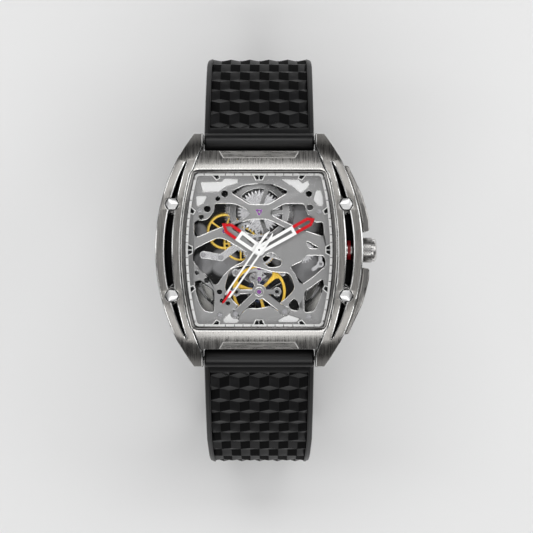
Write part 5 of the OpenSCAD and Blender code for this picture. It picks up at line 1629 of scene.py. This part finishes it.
@dataclass
class RubberStrap:
    """A moulded strap with plain edges and a field of small cubes between them.

    Attributes:
        shop: Shared frame and finishes.
        name: Name of the piece.
        path: The strap's centreline.
        field_end: Distance at which the cubes end.
        tip: Length of the rounded tip, or 0 for a straight end.
        field_start: Distance at which the cubes start.
        pitch: Width of a cube.
        step: Height of one step of the cubes.
        groove: Depth of the bed under the cubes, in steps.
        root: Depth of the cubes' own foot, in steps.
        slice_l: Length of the slices in which the cubes follow the bend.
        border: Width of the plain edges.
        corner: Size of the section's rounded corners.
        width: Width at the lugs and beyond the taper.
        thickness: Thickness at the same places.
        taper: Distances at which the taper starts and ends.
        joint: Radius of the rounded end at the spring bar.
        tip_bow: How far the curve of the tip goes, where 1 would bring its two sides together.
        rounding: Middle of a rounded corner, in from the side and the face, as shares of its size.
        crest: Width and height of the slope between the corner and the flat top.
        groove_rim: Size of the chamfer on the groove's edge, and the lean of its wall.
        end_wall: Half the length over which the groove's ends rise.
        shade_x: X of the normal under which a cube's face takes darker, rougher rubber as painted shade.
        body_bevel: Width of the bevels of the body, and least angle of a bevelled edge in degrees.
        cube_bevel: The same of the cubes.
    """

    shop: Workshop
    name: str
    path: StrapPath
    field_end: float
    tip: float = 0.0
    field_start: float = 2.9
    pitch: float = 4.36
    step: float = 0.5
    groove: float = 2.4
    root: float = 2.8
    slice_l: float = 1.2
    border: float = 1.2
    corner: float = 0.7
    width: tuple[float, float] = (23.8, 22.0)
    thickness: tuple[float, float] = (3.0, 2.7)
    taper: tuple[float, float] = (26.0, 50.0)
    joint: float = 2.0
    tip_bow: float = 0.97
    rounding: tuple[float, float] = (0.2, 0.45)
    crest: tuple[float, float] = (0.15, 0.08)
    groove_rim: tuple[float, float] = (0.12, 0.05)
    end_wall: float = 0.02
    shade_x: float = -0.1
    body_bevel: tuple[float, float] = (0.06, 40)
    cube_bevel: tuple[float, float] = (0.4, 9)

    def share(self, s: float) -> float:
        """Returns how far the taper has gone at a distance."""
        return (s - self.taper[0]) / (self.taper[1] - self.taper[0])

    def half_w(self, s: float) -> float:
        """Measures the strap across.

        Args:
            s: Distance along the centreline.

        Returns:
            Half the width there.
        """
        half = lerp(*self.width, self.share(s)) / 2
        if not self.tip:
            return half
        u = max(0.0, (s - self.path.length + self.tip) / self.tip)
        return half * math.sqrt(1 - self.tip_bow * u * u)

    def half_t(self, s: float) -> float:
        """Returns half the thickness at a distance."""
        return lerp(*self.thickness, self.share(s)) / 2

    def section(self, s: float) -> Outline:
        """Draws a section of the strap, with the groove that the cubes fill.

        Args:
            s: Distance along the centreline.

        Returns:
            Its corners, across and out from the centreline.
        """
        w, t = self.half_w(s), self.half_t(s)
        c = self.corner
        edge = w - self.border
        inside = self.field_start < s < self.field_end
        floor = t - self.groove * self.step if inside else t - HAIR
        across, down = (share * c for share in self.rounding)
        slope, rise = self.crest
        rim, lean = self.groove_rim
        top = [(w, 0.0), (w, t - c), (w - across, t - down), (w - c, t - rise), (w - c - slope, t),
               (edge + rim, t), (edge, t - rim if inside else t), (edge - lean, floor)]
        low = [(w, c - t), (w - across, down - t), (w - c, -t)]
        left = [(-x, y) for x, y in top[::-1] + low]
        return top + left + low[::-1]

    def stations(self) -> list[float]:
        """Returns the distances of the loft's sections."""
        length = self.path.length
        marks = {0.0, length}
        marks |= {s + gap for s in (self.field_start, self.field_end)
                  for gap in (-self.end_wall, self.end_wall)}
        marks |= {length * i / int(length) for i in range(int(length) + 1)}
        if self.tip:
            marks |= {length - self.tip * math.cos(math.radians(a)) ** 2 for a in range(0, 91, 6)}
        return sorted(m for m in marks if m <= length)

    def shell(self) -> bpy.types.Object:
        """Builds the strap's body, without the cubes."""
        rings = [[self.path.place(x, s, out) for x, out in self.section(s)] for s in self.stations()]
        return loft(self.name, rings, 0.0005)

    def tile(self) -> bpy.types.Object:
        """Makes one cube, seen as a hexagon of three faces."""
        r = self.pitch / math.sqrt(3)
        points = [(0.0, 0.0, 0.0)]
        for k in range(6):
            a = math.radians(30 + 60 * k)
            points.append((r * math.cos(a), r * math.sin(a), -self.step * (1 + k % 2)))
        return link("cube_tile", mesh_of("cube_tile", points, [[0, 1, 2, 3], [0, 3, 4, 5], [0, 5, 6, 1]]))

    def cubes(self) -> bpy.types.Object:
        """Builds the field of cubes flat, cuts it to size and wraps it round the strap."""
        half = self.width[0] / 2 - self.border
        length = self.field_end - self.field_start
        row = self.pitch * math.sqrt(3) / 2
        spots = [(((i + j % 2 / 2) * self.pitch, j * row, 0.0), (0.0, 0.0, 0.0))
                 for j in range(-1, int(length / row) + 3) for i in range(-4, 5)]
        base = self.shop.scatter(f"{self.name}_cubes", spots, self.tile(), "rubber", 0.01)
        # Cube faces that turn away from the light take darker rubber as painted shade.
        self.shop.paint(base, "rubber_painted_shade", lambda at, normal: normal.x < self.shade_x)
        with editing(base.data) as work:
            for at, normal in (((half * MM, 0, 0), (1, 0, 0)), ((-half * MM, 0, 0), (-1, 0, 0)),
                               ((0, 0, 0), (0, -1, 0)), ((0, length * MM, 0), (0, 1, 0))):
                split(work, at, normal, True)
            for i in range(1, int(length / self.slice_l)):
                split(work, (0, i * self.slice_l * MM, 0), (0, 1, 0))
            grown = bmesh.ops.extrude_face_region(work, geom=work.faces[:], use_keep_orig=True)["geom"]
            for item in grown:
                if isinstance(item, bmesh.types.BMVert):
                    item.co.z = -self.root * self.step * MM
            for vert in work.verts:
                x, s, h = vert.co.x / MM, vert.co.y / MM + self.field_start, vert.co.z / MM
                squeeze = (self.half_w(s) - self.border) / half
                vert.co = Vector(self.path.place(x * squeeze, s, self.half_t(s) + h)) * MM
            bmesh.ops.recalc_face_normals(work, faces=work.faces)
        return base

    def build(self, tool: bpy.types.Object, *extra: bpy.types.Object) -> bpy.types.Object:
        """Cuts the strap's openings and joins its parts into one piece.

        Args:
            tool: Closed object that is cut out of the strap.
            extra: Further parts of the piece.

        Returns:
            The whole strap.
        """
        shell = soften(cut(self.shell(), tool), *self.body_bevel)
        cubes = soften(self.cubes(), *self.cube_bevel)
        knuckle = self.path.bar(f"{self.name}_knuckle", self.width[0] / 2, self.joint, 0)
        for part in (shell, knuckle, *extra):
            self.shop.cover(part, "rubber")
        return join(shell, [cubes, knuckle, *extra])


@dataclass
class StrapSet:
    """Both straps, the keepers and the buckle.

    Attributes:
        shop: Shared frame and finishes.
        tongue_gap: Half the width of the gap in which the tongue turns, and its reach over the buckle bar.
        end_bar: Half the length and the radius of the upper strap's round end.
        keeper_l: Length of a keeper along the strap.
        keeper_wall: Its thickness.
        keeper_room: Height of its opening.
        keeper_lift: Height of its middle over the upper strap's centreline.
        keeper_round: Radii of its outer and inner corners.
        fixed: Distance of the fixed keeper back from the buckle bar, and width of its opening.
        free: The same of the free keeper.
        hole_count: Number of holes in the lower strap.
        hole_r: Radius of a hole.
        hole_start: Distance of the last hole from the tip.
        hole_pitch: Distance between two holes.
        through: How far the tools of the tongue's gap and of the holes reach through the strap.
    """

    shop: Workshop
    tongue_gap: tuple[float, float] = (1.6, 4.6)
    end_bar: tuple[float, float] = (11.0, 1.9)
    keeper_l: float = 6.0
    keeper_wall: float = 1.3
    keeper_room: float = 6.4
    keeper_lift: float = 1.6
    keeper_round: tuple[float, float] = (2.0, 1.0)
    fixed: tuple[float, float] = (9.5, 22.0)
    free: tuple[float, float] = (19.5, 22.7)
    hole_count: int = 7
    hole_r: float = 1.3
    hole_start: float = 10.0
    hole_pitch: float = 6.5
    through: tuple[float, float] = (5.0, 4.0)

    def tongue_slot(self) -> bpy.types.Object:
        """Builds the tool for the gap in which the tongue turns."""
        half, reach = self.tongue_gap
        s = UPPER_PATH.length
        far = self.through[0]
        outline = [(-far, -far), (reach, -far), (reach, far), (-far, far)]
        low, high = ([UPPER_PATH.place(x, s + along, out) for along, out in outline] for x in (-half, half))
        return blocks("tongue_slot", [(low, high)])

    def holes(self) -> bpy.types.Object:
        """Builds the tool for the holes of the lower strap."""
        circle = [(self.hole_r * math.cos(a), self.hole_r * math.sin(a)) for a in turns(32)]
        far = self.through[1]
        pairs = []
        for index in range(self.hole_count):
            s = LOWER_PATH.length - self.hole_start - self.hole_pitch * index
            low, high = ([LOWER_PATH.place(x, s + along, out) for x, along in circle] for out in (-far, far))
            pairs.append((low, high))
        return blocks("strap_holes", pairs)

    def band(self, name: str, back: float, inner: float) -> bpy.types.Object:
        """Builds a keeper: a rounded loop round both straps.

        Args:
            name: Name of the object.
            back: Distance of its middle back from the buckle bar.
            inner: Width of its opening.

        Returns:
            The object.
        """
        s = UPPER_PATH.length - back
        loops = []
        for grow, r in zip((self.keeper_wall, 0.0), self.keeper_round):
            w, h = inner / 2 + grow - r, self.keeper_room / 2 + grow - r
            loops.append([(sx * w + r * math.cos(math.radians(a)), sy * h + r * math.sin(math.radians(a)))
                          for sx, sy, first in ((1, 1, 0), (-1, 1, 90), (-1, -1, 180), (1, -1, 270))
                          for a in range(first, first + 91, 15)])
        points = [UPPER_PATH.place(x, s + side * self.keeper_l / 2, self.keeper_lift + out)
                  for side in (-1, 1) for loop in loops for x, out in loop]
        n = len(loops[0])
        faces = [face for a, b in ((0, 1), (2, 3), (0, 2), (1, 3)) for face in between(a * n, b * n, n)]
        return soften(self.shop.cover(solid(name, points, faces), "rubber"), 0.35, angle=40, segments=3)

    def build(self) -> None:
        """Builds the straps, the keepers and the buckle."""
        shop = self.shop
        end = cut(UPPER_PATH.bar("buckle_end", *self.end_bar, UPPER_PATH.length), self.tongue_slot())
        upper = RubberStrap(shop, "upper_strap_moulded", UPPER_PATH, field_end=60.0)
        piece = upper.build(self.tongue_slot(), end, self.band("fixed_keeper", *self.fixed))
        shop.stand_for(piece, "strap_upper")
        lower = RubberStrap(shop, "lower_strap_moulded", LOWER_PATH, field_end=62.0, tip=8.0)
        shop.stand_for(lower.build(self.holes()), "strap_lower")
        shop.stand_for(self.band("free_keeper_moulded", *self.free), "free_keeper")
        shop.machine("buckle_frame", "mirror", 0.3)
        shop.machine("buckle_bar", "mirror", 0.08)
        shop.machine("buckle_tongue", "mirror", 0.1)


# Gap between the floor and the lowest point of the watch, in millimetres.
FLOOR_GAP = 0.02


@dataclass
class Studio:
    """The floor, the lights and the camera.

    Attributes:
        floor_z: Height of the floor.
        camera_at: Place of the camera in millimetres.
        lens: Focal length in millimetres.
        sensor: Width of the camera's sensor in millimetres.
        floor_half: Half the floor's width.
        room_light: Strength of the light from all round.
        lamps: Place, width and height in millimetres, and power in watts of each soft lamp.
    """

    floor_z: float
    camera_at: Point = (1.586, -3.536, 407.6)
    lens: float = 126.1
    sensor: float = 36.0
    floor_half: float = 3000.0
    room_light: float = 0.09
    lamps: dict[str, tuple[Point, tuple[float, float], float]] = field(default_factory=lambda: {
        "north_box": ((0, 660, 905), (1300, 420), 6.0),
        "south_box": ((0, -660, 905), (1300, 420), 5.6),
        "overhead_box": ((0, 0, 905), (1300, 620), 2.3),
        "right_box": ((800, 200, 450), (500, 700), 2.1),
        "left_strip": ((-800, 100, 450), (200, 900), 0.9),
    })

    def floor(self) -> None:
        """Builds the pale floor."""
        points = rectangle(self.floor_half, self.floor_half, self.floor_z)
        made = link("floor", mesh_of("floor", points, [[0, 1, 2, 3]]))
        paint = bpy.data.materials.new("pale_floor")
        paint.use_nodes = True
        shader = paint.node_tree.nodes["Principled BSDF"].inputs
        looks = {"Base Color": (0.8, 0.8, 0.8, 1), "Roughness": 0.9, "Specular IOR Level": 0.1}
        for key, value in looks.items():
            shader[key].default_value = value
        made.data.materials.append(paint)
        made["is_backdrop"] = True

    def lamp(self, name: str, at: Point, size: tuple[float, float], power: float) -> None:
        """Adds a soft lamp that points at the watch.

        Args:
            name: Name of the lamp.
            at: Its place in millimetres.
            size: Its width and height in millimetres.
            power: Its power in watts.
        """
        data = bpy.data.lights.new(name, "AREA")
        data.shape = "RECTANGLE"
        data.size = size[0] * MM
        data.size_y = size[1] * MM
        data.energy = power
        made = link(name, data)
        made.location = Vector(at) * MM
        made.rotation_mode = "QUATERNION"
        made.rotation_quaternion = (-Vector(at)).to_track_quat("-Z", "Y")

    def world(self) -> None:
        """Lights the room with a plain, dim grey."""
        made = bpy.data.worlds.new("studio_room")
        bpy.context.scene.world = made
        made.use_nodes = True
        ground = made.node_tree.nodes["Background"].inputs
        ground["Color"].default_value = (1, 1, 1, 1)
        ground["Strength"].default_value = self.room_light

    def camera(self) -> None:
        """Sets the camera straight above the dial, as in the photograph."""
        data = bpy.data.cameras.new("camera")
        data.sensor_width = self.sensor
        data.lens = self.lens
        data.clip_start = 0.01
        data.clip_end = 20
        made = link("camera", data)
        made.location = Vector(self.camera_at) * MM
        bpy.context.scene.camera = made

    def build(self) -> None:
        """Builds the whole studio."""
        self.floor()
        self.world()
        for name, (at, size, power) in self.lamps.items():
            self.lamp(name, at, size, power)
        self.camera()
        bpy.context.scene.view_settings.view_transform = "Standard"


def main() -> None:
    """Builds the watch in order."""
    logging.basicConfig(level=logging.INFO, format="%(name)s: %(message)s")
    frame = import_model()
    shop = Workshop(frame)
    for part in (WatchCase, CrownGear, Movement, DialRing, Hands, StrapSet):
        part(shop).build()
    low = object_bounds()[0]
    Studio(low.z / MM - FLOOR_GAP).build()


if __name__ == "__main__":
    main()
